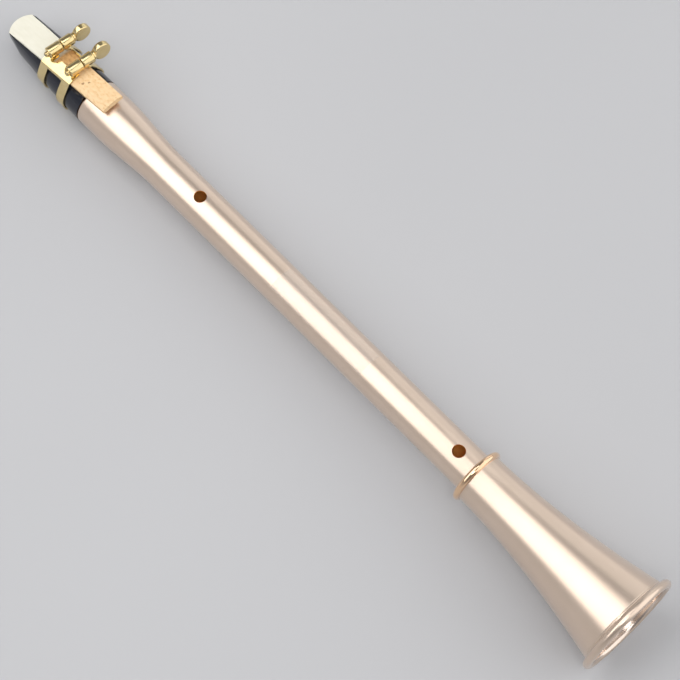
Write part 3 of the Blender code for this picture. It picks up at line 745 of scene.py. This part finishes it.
def wire_rule(path_radius, wire_radius, finish):
    """A round wire bent to a closed ring."""
    rule = Rule("wire_rule", {
        "Path Radius": path_radius,
        "Wire Radius": wire_radius,
        "Sides": SEGMENTS,
        "Wire Sides": 24,
        "Finish": finish,
    })
    path = rule.node("GeometryNodeCurvePrimitiveCircle",
                     {"Resolution": rule.given("Sides"), "Radius": rule.given("Path Radius")})
    section = rule.node("GeometryNodeCurvePrimitiveCircle",
                        {"Resolution": rule.given("Wire Sides"), "Radius": rule.given("Wire Radius")})
    ring = rule.node("GeometryNodeCurveToMesh", {"Curve": path, "Profile Curve": section})
    rule.end(ring, rule.given("Finish"))
    return rule


def flare_radius(x):
    """The bell's outer radius before the roll, as its rule has it."""
    flare_end_radius = ROLL_CENTRE_RADIUS - ROLL_RADIUS + BELL_WALL
    share = max(0.0, (x - BELL_START_X) / (ROLL_X - ROLL_RADIUS - BELL_START_X))
    return BELL_THROAT_RADIUS + (flare_end_radius - BELL_THROAT_RADIUS) * share ** BELL_FLARE_POWER


def mouthpiece_radius(x):
    """The mouthpiece's round body: a short barrel and a long cone to the tip."""
    cone_start = -BARREL_LENGTH
    if x > cone_start:
        return SOCKET_RADIUS
    share = (cone_start - x) / (cone_start - TIP_X)
    return SOCKET_RADIUS + (TIP_RADIUS - SOCKET_RADIUS) * share


def reed_under_z(x):
    """The height of the reed's flat underside."""
    return REED_BUTT_Z - (REED_OVERHANG - x) * REED_SLOPE


def table_z(x):
    """The height of the mouthpiece's table, and of its facing curve near the tip."""
    facing_start = TIP_X + FACING_LENGTH
    height = reed_under_z(x) - GAP / math.cos(REED_ANGLE)
    if x < facing_start:
        height -= TIP_OPENING * ((facing_start - x) / FACING_LENGTH) ** 2
    return height


def beak_z(x):
    """The height of the beak's sloping face under the tip."""
    tip_z = table_z(TIP_X) - TIP_THICKNESS
    beak_start = TIP_X + BEAK_LENGTH
    slope = (tip_z + mouthpiece_radius(beak_start)) / BEAK_LENGTH
    return tip_z - slope * (x - TIP_X)


def build_mouthpiece():
    """Turned body with tenon and bore, cut to table, facing, beak, window and chamber."""
    collar_radius = CORK_RADIUS - GAP
    profile = [
        (TENON_END_X, 0.0),
        (TENON_END_X, collar_radius),
        (TENON_END_X - TENON_COLLAR_LENGTH, collar_radius),
        (TENON_END_X - TENON_COLLAR_LENGTH, TENON_RADIUS),
        (SHOULDER_X, TENON_RADIUS),
        (SHOULDER_X, SOCKET_RADIUS),
        (-BARREL_LENGTH, SOCKET_RADIUS),
        (TIP_X, TIP_RADIUS),
        (TIP_X, 0.0),
    ]
    body = turned("mouthpiece", profile, PARTS, MOUTHPIECE_AXIS, TO_X, closed=False)
    width = PLATFORM_HALF_WIDTH
    block = [(-width, BORE_RADIUS / 3), (width, BORE_RADIUS / 3)]
    block += [(width, SOCKET_RADIUS), (-width, SOCKET_RADIUS)]
    middle = Matrix.Translation(((TIP_X + SHOULDER_X) / 2, 0, 0)) @ END_VIEW
    half_length = (SHOULDER_X - TIP_X) / 2
    platform = outline_solid("table_block", block, half_length, CUTTERS, MOUTHPIECE_AXIS, middle)
    boolean(body, platform, "UNION")

    past_tenon = TENON_END_X + BORE_RADIUS
    bore = [(past_tenon, 0.0), (past_tenon, BORE_RADIUS), (BORE_END_X, BORE_RADIUS), (BORE_END_X, 0.0)]
    cutter = turned("bore_cut", bore, CUTTERS, MOUTHPIECE_AXIS, TO_X, closed=False)
    boolean(body, cutter, "DIFFERENCE")

    beyond = TIP_X - BAFFLE_WALL
    above = 3 * SOCKET_RADIUS
    table = [(TENON_END_X / 4, table_z(TENON_END_X / 4))]
    for i in range(25):
        x = TIP_X + FACING_LENGTH * (1 - i / 24)
        table.append((x, table_z(x)))
    table += [(beyond, table_z(beyond)), (beyond, above), (TENON_END_X / 4, above)]
    cutter = outline_solid("table_cut", table, above, CUTTERS, MOUTHPIECE_AXIS, SIDE_VIEW)
    boolean(body, cutter, "DIFFERENCE")

    past_beak = TIP_X + 1.2 * BEAK_LENGTH
    beak = [(beyond, -above), (past_beak, -above)]
    beak += [(past_beak, beak_z(past_beak)), (beyond, beak_z(beyond))]
    cutter = outline_solid("beak_cut", beak, above, CUTTERS, MOUTHPIECE_AXIS, SIDE_VIEW)
    boolean(body, cutter, "DIFFERENCE")

    window_front = TIP_X + TIP_RAIL
    window_back = window_front + WINDOW_LENGTH
    baffle_top = beak_z(window_front) + BAFFLE_WALL
    slope = (beak_z(window_front) - beak_z(window_back)) / WINDOW_LENGTH
    baffle_end = window_front + (baffle_top + CHAMBER_HALF_HEIGHT) / slope
    chamber = [(window_front, baffle_top), (baffle_end, -CHAMBER_HALF_HEIGHT)]
    chamber += [(window_back, -CHAMBER_HALF_HEIGHT), (window_back, above), (window_front, above)]
    cutter = outline_solid("chamber_cut", chamber, WINDOW_HALF_WIDTH, CUTTERS,
                           MOUTHPIECE_AXIS, SIDE_VIEW)
    boolean(body, cutter, "DIFFERENCE")

    plan = tip_outline(TIP_X, REED_TIP_HALF_WIDTH + GAP, REED_TIP_CROWN)
    plan += [(TIP_X + BEAK_LENGTH, SOCKET_RADIUS * 1.1), (TENON_END_X * 1.2, SOCKET_RADIUS * 1.1)]
    plan += [(TENON_END_X * 1.2, -SOCKET_RADIUS * 1.1), (TIP_X + BEAK_LENGTH, -SOCKET_RADIUS * 1.1)]
    flat = Matrix.Identity(4)
    cutter = outline_solid("plan_shape", plan, above, CUTTERS, MOUTHPIECE_AXIS, flat)
    boolean(body, cutter, "INTERSECT")
    return finish_piece(body, BLACK)


def tip_outline(tip_x, half_width, crown):
    """The rounded tip in plan, from the left corner round to the right one."""
    radius = (half_width ** 2 + crown ** 2) / (2 * crown)
    spread = math.asin(half_width / radius)
    return arc(tip_x + radius, 0.0, radius, math.pi + spread, math.pi - spread, 32)


def build_tenon_cork():
    """The cork sleeve on the tenon."""
    inner = TENON_RADIUS + GAP
    profile = [
        (CORK_END_X, CORK_RADIUS),
        (CORK_INSET, CORK_RADIUS),
        (CORK_INSET, inner),
        (CORK_END_X, inner),
    ]
    cork = turned("tenon_cork", profile, PARTS, CORK_AXIS, TO_X, closed=True)
    return finish_piece(cork, CORK)


def build_reed():
    """Cane cut to its plan, rounded by its bark and thinned to the tip."""
    plan = tip_outline(-REED_LENGTH, REED_TIP_HALF_WIDTH, REED_TIP_CROWN)
    plan += [(0.0, REED_BUTT_HALF_WIDTH), (0.0, -REED_BUTT_HALF_WIDTH)]
    middle = Matrix.Translation((0, 0, REED_THICKNESS))
    reed = outline_solid("reed", plan, REED_THICKNESS, PARTS, REED_AXIS, middle)
    length = REED_LENGTH * 1.2
    bark_centre = Matrix.Translation((-REED_LENGTH / 2, 0, REED_THICKNESS - ARCH_RADIUS))
    bark = round_cutter("bark_round", ARCH_RADIUS, length, REED_AXIS, bark_centre @ TO_X, 288)
    boolean(reed, bark, "INTERSECT")
    vamp = []
    steps = 32
    for i in range(steps + 1):
        share = i / steps
        depth = (REED_THICKNESS - REED_TIP_THICKNESS) * share ** VAMP_POWER
        vamp.append((-REED_LENGTH + VAMP_LENGTH * share, REED_TIP_THICKNESS + depth))
    above = 2 * REED_THICKNESS
    beyond = -REED_LENGTH - REED_TIP_CROWN
    vamp += [(-REED_LENGTH + VAMP_LENGTH, above), (beyond, above), (beyond, REED_TIP_THICKNESS)]
    cutter = outline_solid("vamp_cut", vamp, 2 * REED_TIP_HALF_WIDTH, CUTTERS,
                           REED_AXIS, SIDE_VIEW)
    boolean(reed, cutter, "DIFFERENCE")
    return finish_piece(reed, CANE)


def reed_half_width(x):
    """The reed's half width at a place along the instrument."""
    share = (REED_OVERHANG - x) / (REED_LENGTH * math.cos(REED_ANGLE))
    return REED_BUTT_HALF_WIDTH + (REED_TIP_HALF_WIDTH - REED_BUTT_HALF_WIDTH) * share


def reed_middle_y(x):
    """The place of the reed's middle line, which lies slightly askew on the table."""
    pivot_x = REED_OVERHANG - REED_PIVOT * math.cos(REED_ANGLE)
    return (x - pivot_x) * math.tan(REED_SKEW)


def bark_z(x, y):
    """The height of the reed's rounded bark."""
    off_middle = y - reed_middle_y(x)
    sag = ARCH_RADIUS - math.sqrt(ARCH_RADIUS ** 2 - off_middle ** 2)
    return reed_under_z(x) + (REED_THICKNESS - sag) / math.cos(REED_ANGLE)


def strap_side(x, side, end_y):
    """One side of the strap's inner face: from its free edge over the reed's corner."""
    corner_y = reed_middle_y(x) + side * (reed_half_width(x) + 1.5 * GAP)
    points = []
    for i in range(4):
        y = end_y + (corner_y - end_y) * i / 4
        points.append((y, bark_z(x, y) + 1.4 * GAP))
    corner = Vector((abs(corner_y), bark_z(x, corner_y) + 1.3 * GAP))
    points.append((corner_y, corner.y))
    radius = mouthpiece_radius(x) + GAP
    angle = math.atan2(corner.x, corner.y) + math.acos(radius / corner.length)
    points.append((side * radius * math.sin(angle), radius * math.cos(angle)))
    return points


def strap_section(x):
    """The strap's inner face at one place, from its left free edge round to the right one."""
    radius = mouthpiece_radius(x) + GAP
    left = strap_side(x, -1, SPLIT_LEFT_Y)
    right = strap_side(x, 1, SPLIT_RIGHT_Y)
    round_part = []
    for i in range(-22, 22):
        angle = MOUTHPIECE_TURN + (i + 0.5) * BAND_STEP
        round_part.append((radius * math.sin(angle), -radius * math.cos(angle)))
    return left + round_part + list(reversed(right))


def strip_side_z(x):
    """The height where the right strip ends on the reed's corner, beside its lip."""
    corner_y = reed_middle_y(x) + reed_half_width(x) + 1.5 * GAP
    return bark_z(x, corner_y) + 2 * GAP


def build_ligature_band():
    """One sheet: two bands joined by strips along the reed's edges, open over the reed."""
    half = BAND_WIDTH / 2
    stations = [FRONT_BAND_X - half, FRONT_BAND_X + half, REAR_BAND_X - half, REAR_BAND_X + half]
    mesh = bpy.data.meshes.new("ligature_band")
    sheet = bmesh.new()
    rows = []
    for x in stations:
        rows.append([sheet.verts.new((x, y, z)) for y, z in strap_section(x)])
    for row, next_row in zip(rows, rows[1:]):
        for i in range(len(row) - 1):
            sheet.faces.new((row[i + 1], next_row[i + 1], next_row[i], row[i]))
    sheet.to_mesh(mesh)
    sheet.free()
    band = add_object("ligature_band", mesh, PARTS, LIGATURE_AXIS, Matrix.Identity(4))
    solid = band.modifiers.new("sheet", "SOLIDIFY")
    solid.thickness = SHEET
    solid.offset = 1.0
    solid.use_even_offset = True

    front = FRONT_BAND_X + half
    back = REAR_BAND_X - half
    deep = 2 * SOCKET_RADIUS
    window = [(front, -deep), (back, -deep)]
    window += [(back, reed_under_z(back) + STRIP_LIFT), (front, reed_under_z(front) + STRIP_LIFT)]
    cutter = outline_solid("window_cut", window, deep, CUTTERS, LIGATURE_AXIS, SIDE_VIEW)
    lip_front = LIP_X - LIP_LENGTH / 2
    lip_back = LIP_X + LIP_LENGTH / 2
    side = [(front, -deep), (back, -deep), (back, strip_side_z(back))]
    side += [(lip_back, strip_side_z(lip_back)), (lip_back, 0.0), (lip_front, 0.0)]
    side += [(lip_front, strip_side_z(lip_front)), (front, strip_side_z(front))]
    right = Matrix.Translation((0, deep, 0)) @ SIDE_VIEW
    right_cutter = outline_solid("right_window_cut", side, deep, CUTTERS, LIGATURE_AXIS, right)
    boolean(cutter, right_cutter, "UNION")
    boolean(band, cutter, "DIFFERENCE")

    middle = (front + back) / 2
    base = TAB_BASE_LENGTH / 2
    top = TAB_LENGTH / 2
    split = [(front, STRIP_LEFT_Y), (middle - base, STRIP_LEFT_Y)]
    split += [(middle - top, STRIP_LEFT_Y + TAB_RISE), (middle + top, STRIP_LEFT_Y + TAB_RISE)]
    split += [(middle + base, STRIP_LEFT_Y), (back, STRIP_LEFT_Y)]
    split += [(back, STRIP_RIGHT_Y), (front, STRIP_RIGHT_Y)]
    above = Matrix.Translation((0, 0, 2 * SOCKET_RADIUS))
    cutter = outline_solid("split_cut", split, 2 * SOCKET_RADIUS, CUTTERS, LIGATURE_AXIS, above)
    boolean(band, cutter, "DIFFERENCE")
    return finish_piece(band, GOLD)


def screw_z(x):
    """The height of a thumbscrew's axis: its posts rest on the band."""
    lift = (SHEET + POST_RADIUS + GAP) / math.cos(REED_ANGLE)
    return bark_z(x, 0.0) + 1.4 * GAP + lift


def build_post(name, axis, start_y, end_y):
    """A barrel with the hole that its thumbscrew passes through."""
    bore = SCREW_RADIUS + GAP
    ease = POST_RADIUS / 6
    shoulder = POST_RADIUS - ease
    profile = arc(end_y - ease, shoulder, ease, 0.0, math.radians(90), 6)
    profile += arc(start_y + ease, shoulder, ease, math.radians(90), math.radians(180), 6)
    profile += [(start_y, bore), (end_y, bore)]
    post = turned(name, profile, PARTS, axis, TO_Y, True, SMALL_SEGMENTS)
    return finish_piece(post, GOLD)


def thread_rule():
    """A thread's ridge that winds along a screw."""
    rule = Rule("thread_rule", {
        "Root Radius": 0.00144,
        "Ridge Radius": 0.00022,
        "Pitch": 0.0006,
        "Turns": 26.0,
        "Steps Each Turn": 24,
        "Ridge Sides": 6,
        "Finish": GOLD,
    })
    root = rule.given("Root Radius")
    turns = rule.given("Turns")
    path = rule.node("GeometryNodeCurveSpiral", {
        "Resolution": rule.given("Steps Each Turn"), "Rotations": turns, "Start Radius": root,
        "End Radius": root, "Height": turns * rule.given("Pitch")})
    ridge = rule.node("GeometryNodeCurvePrimitiveCircle", {
        "Resolution": rule.given("Ridge Sides"), "Radius": rule.given("Ridge Radius")})
    thread = rule.node("GeometryNodeCurveToMesh",
                       {"Curve": path, "Profile Curve": ridge, "Fill Caps": True})
    rule.end(thread, rule.given("Finish"))
    return rule


def build_thumbscrew(name, axis, head_turn):
    """Shaft, collar and neck turned in one, with a thick round head across the end."""
    collar_end = RIGHT_POST_END_Y + GAP + COLLAR_LENGTH
    tail = LEFT_POST_START_Y - SCREW_TAIL
    ease = SCREW_RADIUS / 3
    profile = [
        (HEAD_CENTRE_Y, 0.0),
        (HEAD_CENTRE_Y, NECK_RADIUS),
        (collar_end, NECK_RADIUS),
        (collar_end, COLLAR_RADIUS),
        (RIGHT_POST_END_Y + GAP, COLLAR_RADIUS),
        (RIGHT_POST_END_Y + GAP, SCREW_RADIUS),
        (tail + ease, SCREW_RADIUS),
        (tail, SCREW_RADIUS - ease),
        (tail, 0.0),
    ]
    screw = turned(name, profile, PARTS, axis, TO_Y, False, SMALL_SEGMENTS)
    half = HEAD_THICKNESS / 2
    rim = HEAD_RADIUS - HEAD_ROUNDING
    face = [(half, 0.0)]
    face += arc(half - HEAD_ROUNDING, rim, HEAD_ROUNDING, 0.0, math.radians(90), 6)
    face += arc(HEAD_ROUNDING - half, rim, HEAD_ROUNDING, math.radians(90), math.radians(180), 6)
    face.append((-half, 0.0))
    lean = Matrix.Rotation(-head_turn, 4, "Y")
    place = Matrix.Translation((0, HEAD_CENTRE_Y, 0)) @ lean @ TO_X
    head = turned(name + "_head", face, CUTTERS, axis, place, False, 64)
    boolean(screw, head, "UNION")
    return finish_piece(screw, GOLD)


FILM_START_X = 0.136
FILM_END_X = 0.198
FILM_LIFT = 0.00006
FILM_FROM = math.radians(-41)
FILM_TO = math.radians(36)


def build_film():
    """The clear film on the tube's upper side, left bare."""
    mesh = bpy.data.meshes.new("tube_film")
    sheet = bmesh.new()
    rows = []
    radius = TUBE_RADIUS + FILM_LIFT
    for i in range(13):
        x = FILM_START_X + (FILM_END_X - FILM_START_X) * i / 12
        row = []
        for j in range(25):
            angle = FILM_FROM + (FILM_TO - FILM_FROM) * j / 24
            row.append(sheet.verts.new((x, radius * math.sin(angle), radius * math.cos(angle))))
        rows.append(row)
    for row, next_row in zip(rows, rows[1:]):
        for j in range(len(row) - 1):
            sheet.faces.new((row[j], next_row[j], next_row[j + 1], row[j + 1]))
    sheet.to_mesh(mesh)
    sheet.free()
    film = add_object("tube_film", mesh, PARTS, INSTRUMENT, Matrix.Identity(4))
    solid = film.modifiers.new("thickness", "SOLIDIFY")
    solid.thickness = FILM_LIFT
    solid.offset = -0.5
    return finish_piece(film, FILM)


def settle(obj):
    """Turn a piece into a plain mesh whose place is in its mesh."""
    bpy.context.view_layer.update()
    depsgraph = bpy.context.evaluated_depsgraph_get()
    evaluated = obj.evaluated_get(depsgraph)
    mesh = bpy.data.meshes.new_from_object(evaluated)
    mesh.transform(evaluated.matrix_world)
    name = obj.name.split(".")[0]
    bpy.data.objects.remove(obj, do_unlink=True)
    mesh.name = name + "_fine"
    mesh.shade_smooth()
    mesh.set_sharp_from_angle(angle=math.radians(32))
    fine = bpy.data.objects.new(name + "_fine", mesh)
    bpy.context.scene.collection.objects.link(fine)
    return fine


def line_inside(piece, outside, finish):
    """Give the faces that lie below the outer skin the inside's finish."""
    piece.data.materials.append(finish)
    back = PLACE.inverted()
    for face in piece.data.polygons:
        centre = back @ face.center
        if math.hypot(centre.y, centre.z) < outside(centre.x):
            face.material_index = 1


def tube_outside(x):
    """Where the tube's outer skin begins, below its socket's taper too."""
    share = (x - SOCKET_TAPER_START) / (SOCKET_TAPER_END - SOCKET_TAPER_START)
    swell = (1 + math.cos(math.pi * min(1.0, max(0.0, share)))) / 2
    return TUBE_RADIUS + (SOCKET_RADIUS - TUBE_RADIUS) * swell - TUBE_WALL / 4


def bell_outside(x):
    """Where the bell's outer skin begins, up to the roll."""
    return flare_radius(min(x, ROLL_X - ROLL_RADIUS)) - BELL_WALL / 2


INSTRUMENT = new_empty("instrument", None, PLACE)
CORK_AXIS = new_empty("tuning_axis", INSTRUMENT, Matrix.Identity(4))
MOUTHPIECE_AXIS = new_empty("mouthpiece_axis", CORK_AXIS, Matrix.Rotation(-MOUTHPIECE_TURN, 4, "X"))
REED_PLACE = Matrix.Translation((REED_OVERHANG, 0, REED_BUTT_Z)) @ Matrix.Rotation(-REED_ANGLE, 4, "Y")
REED_PLACE @= Matrix.Translation((-REED_PIVOT, 0, 0)) @ Matrix.Rotation(REED_SKEW, 4, "Z")
REED_PLACE @= Matrix.Translation((REED_PIVOT, 0, 0))
REED_AXIS = new_empty("reed_axis", MOUTHPIECE_AXIS, REED_PLACE)
LIGATURE_AXIS = new_empty("ligature_axis", MOUTHPIECE_AXIS, Matrix.Identity(4))

build_body_tube()
build_joint_ring()
build_bell_sleeve()
bell_rule().make("bell", INSTRUMENT, Matrix.Translation((BELL_START_X, 0, 0)) @ TO_X)
rim_wire = wire_rule(ROLL_CENTRE_RADIUS, ROLL_RADIUS - BELL_WALL - GAP, BRASS)
rim_wire.make("rim_wire", INSTRUMENT, Matrix.Translation((ROLL_X, 0, 0)) @ TO_X)
build_mouthpiece()
build_tenon_cork()
build_reed()
build_ligature_band()
screw_thread = thread_rule()
screws = (
    ("front", FRONT_BAND_X, FRONT_SCREW_SKEW, FRONT_HEAD_TURN),
    ("rear", REAR_BAND_X, REAR_SCREW_SKEW, REAR_HEAD_TURN),
)
for band, band_x, skew, head_turn in screws:
    screw_place = Matrix.Translation((band_x, 0, screw_z(band_x))) @ Matrix.Rotation(-skew, 4, "Z")
    screw_axis = new_empty(f"{band}_screw_axis", LIGATURE_AXIS, screw_place)
    build_post(f"post_{band}_left", screw_axis, LEFT_POST_START_Y, LEFT_POST_END_Y)
    build_post(f"post_{band}_right", screw_axis, RIGHT_POST_START_Y, RIGHT_POST_END_Y)
    build_thumbscrew(f"thumbscrew_{band}", screw_axis, head_turn)
    thread_start = Matrix.Translation((0, LEFT_POST_START_Y - SCREW_TAIL + 0.0005, 0))
    screw_thread.make(f"thread_{band}", screw_axis, thread_start @ TO_Y)
build_film()

NODE_BODY = {node: body for body, nodes in frame["record"]["behaviour"]["bodies"].items()
             for node in nodes}
CARRIER = {"tube_film": "instrument", "thread_front": "front_thumbscrew",
           "thread_rear": "rear_thumbscrew"}
pieces = []
for made in [obj for obj in PARTS.objects if obj.type == "MESH"]:
    pieces.append(settle(made))
for spare in list(PARTS.objects) + list(CUTTERS.objects):
    bpy.data.objects.remove(spare, do_unlink=True)
line_inside(bpy.data.objects["body_tube_fine"], tube_outside, BRASS)
line_inside(bpy.data.objects["bell_fine"], bell_outside, INSIDE)
for piece in pieces:
    node = piece.name[:-len("_fine")]
    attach(piece, NODE_BODY.get(node) or CARRIER[node])
    if node in NODE_BODY:
        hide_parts(node)


# The photograph's camera, in the instrument's frame
CAMERA_TILT = math.radians(15)
CAMERA_ROLL = math.radians(14.2)
CAMERA_FOOT_X = 0.4443
CAMERA_HEIGHT = 0.9985
CAMERA_SIDE = 0.0005
FOCAL_PIXELS = 2156
FRAME_PIXELS = 680
SENSOR = 36
AXIS_ACROSS = 0.7125036
AXIS_DOWN = 0.70166846

# The floor's half width, and how light it and the horizon look
FLOOR_REACH = 30.0
PALE = 0.56


def add_camera():
    """The camera that saw the instrument from above, turned so that it lies corner to corner."""
    toward = Vector((0, -math.sin(CAMERA_ROLL), math.cos(CAMERA_ROLL)))
    side = Vector((0, math.cos(CAMERA_ROLL), math.sin(CAMERA_ROLL)))
    along = Vector((1, 0, 0))
    forward = -(math.sin(CAMERA_TILT) * along + math.cos(CAMERA_TILT) * toward)
    run = math.cos(CAMERA_TILT) * along - math.sin(CAMERA_TILT) * toward
    right = AXIS_ACROSS * run + AXIS_DOWN * side
    up = AXIS_ACROSS * side - AXIS_DOWN * run
    spot = CAMERA_FOOT_X * along + CAMERA_HEIGHT * toward + CAMERA_SIDE * side
    turn = Matrix((right, up, -forward)).transposed().to_4x4()
    data = bpy.data.cameras.new("camera")
    data.sensor_width = SENSOR
    data.lens = FOCAL_PIXELS / FRAME_PIXELS * SENSOR
    data.clip_start = 0.01
    camera = bpy.data.objects.new("camera", data)
    bpy.context.scene.collection.objects.link(camera)
    camera.matrix_world = PLACE @ Matrix.Translation(spot) @ turn
    bpy.context.scene.camera = camera


def add_light(name, shape, spot, target, size, radiance):
    """A soft light of an even brightness, from a spot toward a target."""
    data = bpy.data.lights.new(name, "AREA")
    data.shape = shape
    data.size, data.size_y = size
    area = size[0] * size[1] * (math.pi / 4 if shape == "ELLIPSE" else 1)
    data.energy = radiance * math.pi * area
    light = bpy.data.objects.new(name, data)
    bpy.context.scene.collection.objects.link(light)
    light.location = spot
    light.rotation_euler = (Vector(target) - Vector(spot)).to_track_quat("-Z", "Y").to_euler()
    light.visible_camera = False


def two_worked(tree, operation, first, second):
    """Two values put through one Math node."""
    node = tree.nodes.new("ShaderNodeMath")
    node.operation = operation
    tree.links.new(first, node.inputs[0])
    tree.links.new(second, node.inputs[1])
    return node.outputs["Value"]


def mapped(tree, value, start, end):
    """A share that goes from 0 to 1 while a value goes from start to end."""
    node = tree.nodes.new("ShaderNodeMapRange")
    node.inputs["From Min"].default_value = start
    node.inputs["From Max"].default_value = end
    tree.links.new(value, node.inputs["Value"])
    return node.outputs["Result"]


def seen_or_mirrored(tree):
    """Whether a ray comes from the camera, or by a mirrored or clear surface."""
    rays = tree.nodes.new("ShaderNodeLightPath").outputs
    direct = two_worked(tree, "MAXIMUM", rays["Is Camera Ray"], rays["Is Glossy Ray"])
    return two_worked(tree, "MAXIMUM", direct, rays["Is Transmission Ray"])


def add_floor():
    """A plain pale floor that the instrument lies on, as pale far away as it is close by."""
    mesh = bpy.data.meshes.new("floor")
    mesh.from_pydata([(-FLOOR_REACH, -FLOOR_REACH, 0), (FLOOR_REACH, -FLOOR_REACH, 0),
                      (FLOOR_REACH, FLOOR_REACH, 0), (-FLOOR_REACH, FLOOR_REACH, 0)],
                     [], [(0, 1, 2, 3)])
    floor = bpy.data.objects.new("floor", mesh)
    bpy.context.scene.collection.objects.link(floor)
    material, tree, shader, where = start_material("floor_paint", (0.51, 0.51, 0.52), 0.0, 0.7)
    tone = noise(tree, where, 3, 2)
    colour = ramp(tree, tone, [(0.3, (0.50, 0.50, 0.51)), (0.7, (0.52, 0.52, 0.53))])
    tree.links.new(colour, shader.inputs["Base Color"])
    distance = tree.nodes.new("ShaderNodeVectorMath")
    distance.operation = "LENGTH"
    tree.links.new(where, distance.inputs[0])
    far = mapped(tree, distance.outputs["Value"], 0.6, 1.5)
    glow = tree.nodes.new("ShaderNodeEmission")
    glow.inputs["Color"].default_value = (PALE, PALE, 1.01 * PALE, 1.0)
    mix = tree.nodes.new("ShaderNodeMixShader")
    tree.links.new(two_worked(tree, "MULTIPLY", far, seen_or_mirrored(tree)), mix.inputs["Fac"])
    tree.links.new(shader.outputs["BSDF"], mix.inputs[1])
    tree.links.new(glow.outputs["Emission"], mix.inputs[2])
    tree.links.new(mix.outputs["Shader"], tree.nodes["Material Output"].inputs["Surface"])
    mesh.materials.append(material)


def set_world():
    """Dim even surroundings, lighter along Y, and as pale as the floor at the horizon."""
    world = bpy.data.worlds.new("surroundings")
    world.use_nodes = True
    tree = world.node_tree
    shade = tree.nodes["Background"]
    where = tree.nodes.new("ShaderNodeTexCoord")
    split = tree.nodes.new("ShaderNodeSeparateXYZ")
    tree.links.new(where.outputs["Generated"], split.inputs["Vector"])
    side = mapped(tree, split.outputs["Y"], -1.0, 1.0)
    level = ramp(tree, side, [(0.05, (0.39, 0.40, 0.42)), (0.16, (0.23, 0.23, 0.24)),
                              (0.62, (0.21, 0.21, 0.22)), (0.85, (0.26, 0.27, 0.28))])
    low = mapped(tree, split.outputs["Z"], 0.30, 0.08)
    share = two_worked(tree, "MULTIPLY", low, seen_or_mirrored(tree))
    level = blend_colours(tree, share, level, (PALE, PALE, 1.01 * PALE, 1.0))
    tree.links.new(level, shade.inputs["Color"])
    bpy.context.scene.world = world


add_camera()
add_light("overhead_scrim", "RECTANGLE", (-0.91, -1.10, 1.4), (-0.91, -1.10, 0.0), (1.54, 2.6), 2.2)
add_light("overhead_strip", "RECTANGLE", (-0.33, 0.34, 1.4), (-0.33, 0.34, 0.0), (0.66, 0.28), 2.2)
add_light("far_side_softbox", "RECTANGLE", (0.80, 0.80, 0.85), (0.0, 0.0, 0.0), (2.2, 2.0), 1.15)
add_light("far_side_panel", "RECTANGLE", (-0.65, 1.35, 0.7), (-0.65, 0.0, 0.7), (1.1, 1.4), 0.6)
add_light("key_by_camera", "RECTANGLE", (0.36, -0.30, 1.25), (0.0, 0.0, 0.0), (0.36, 0.36), 7.0)
add_floor()
set_world()
bpy.context.scene.view_settings.view_transform = "Standard"
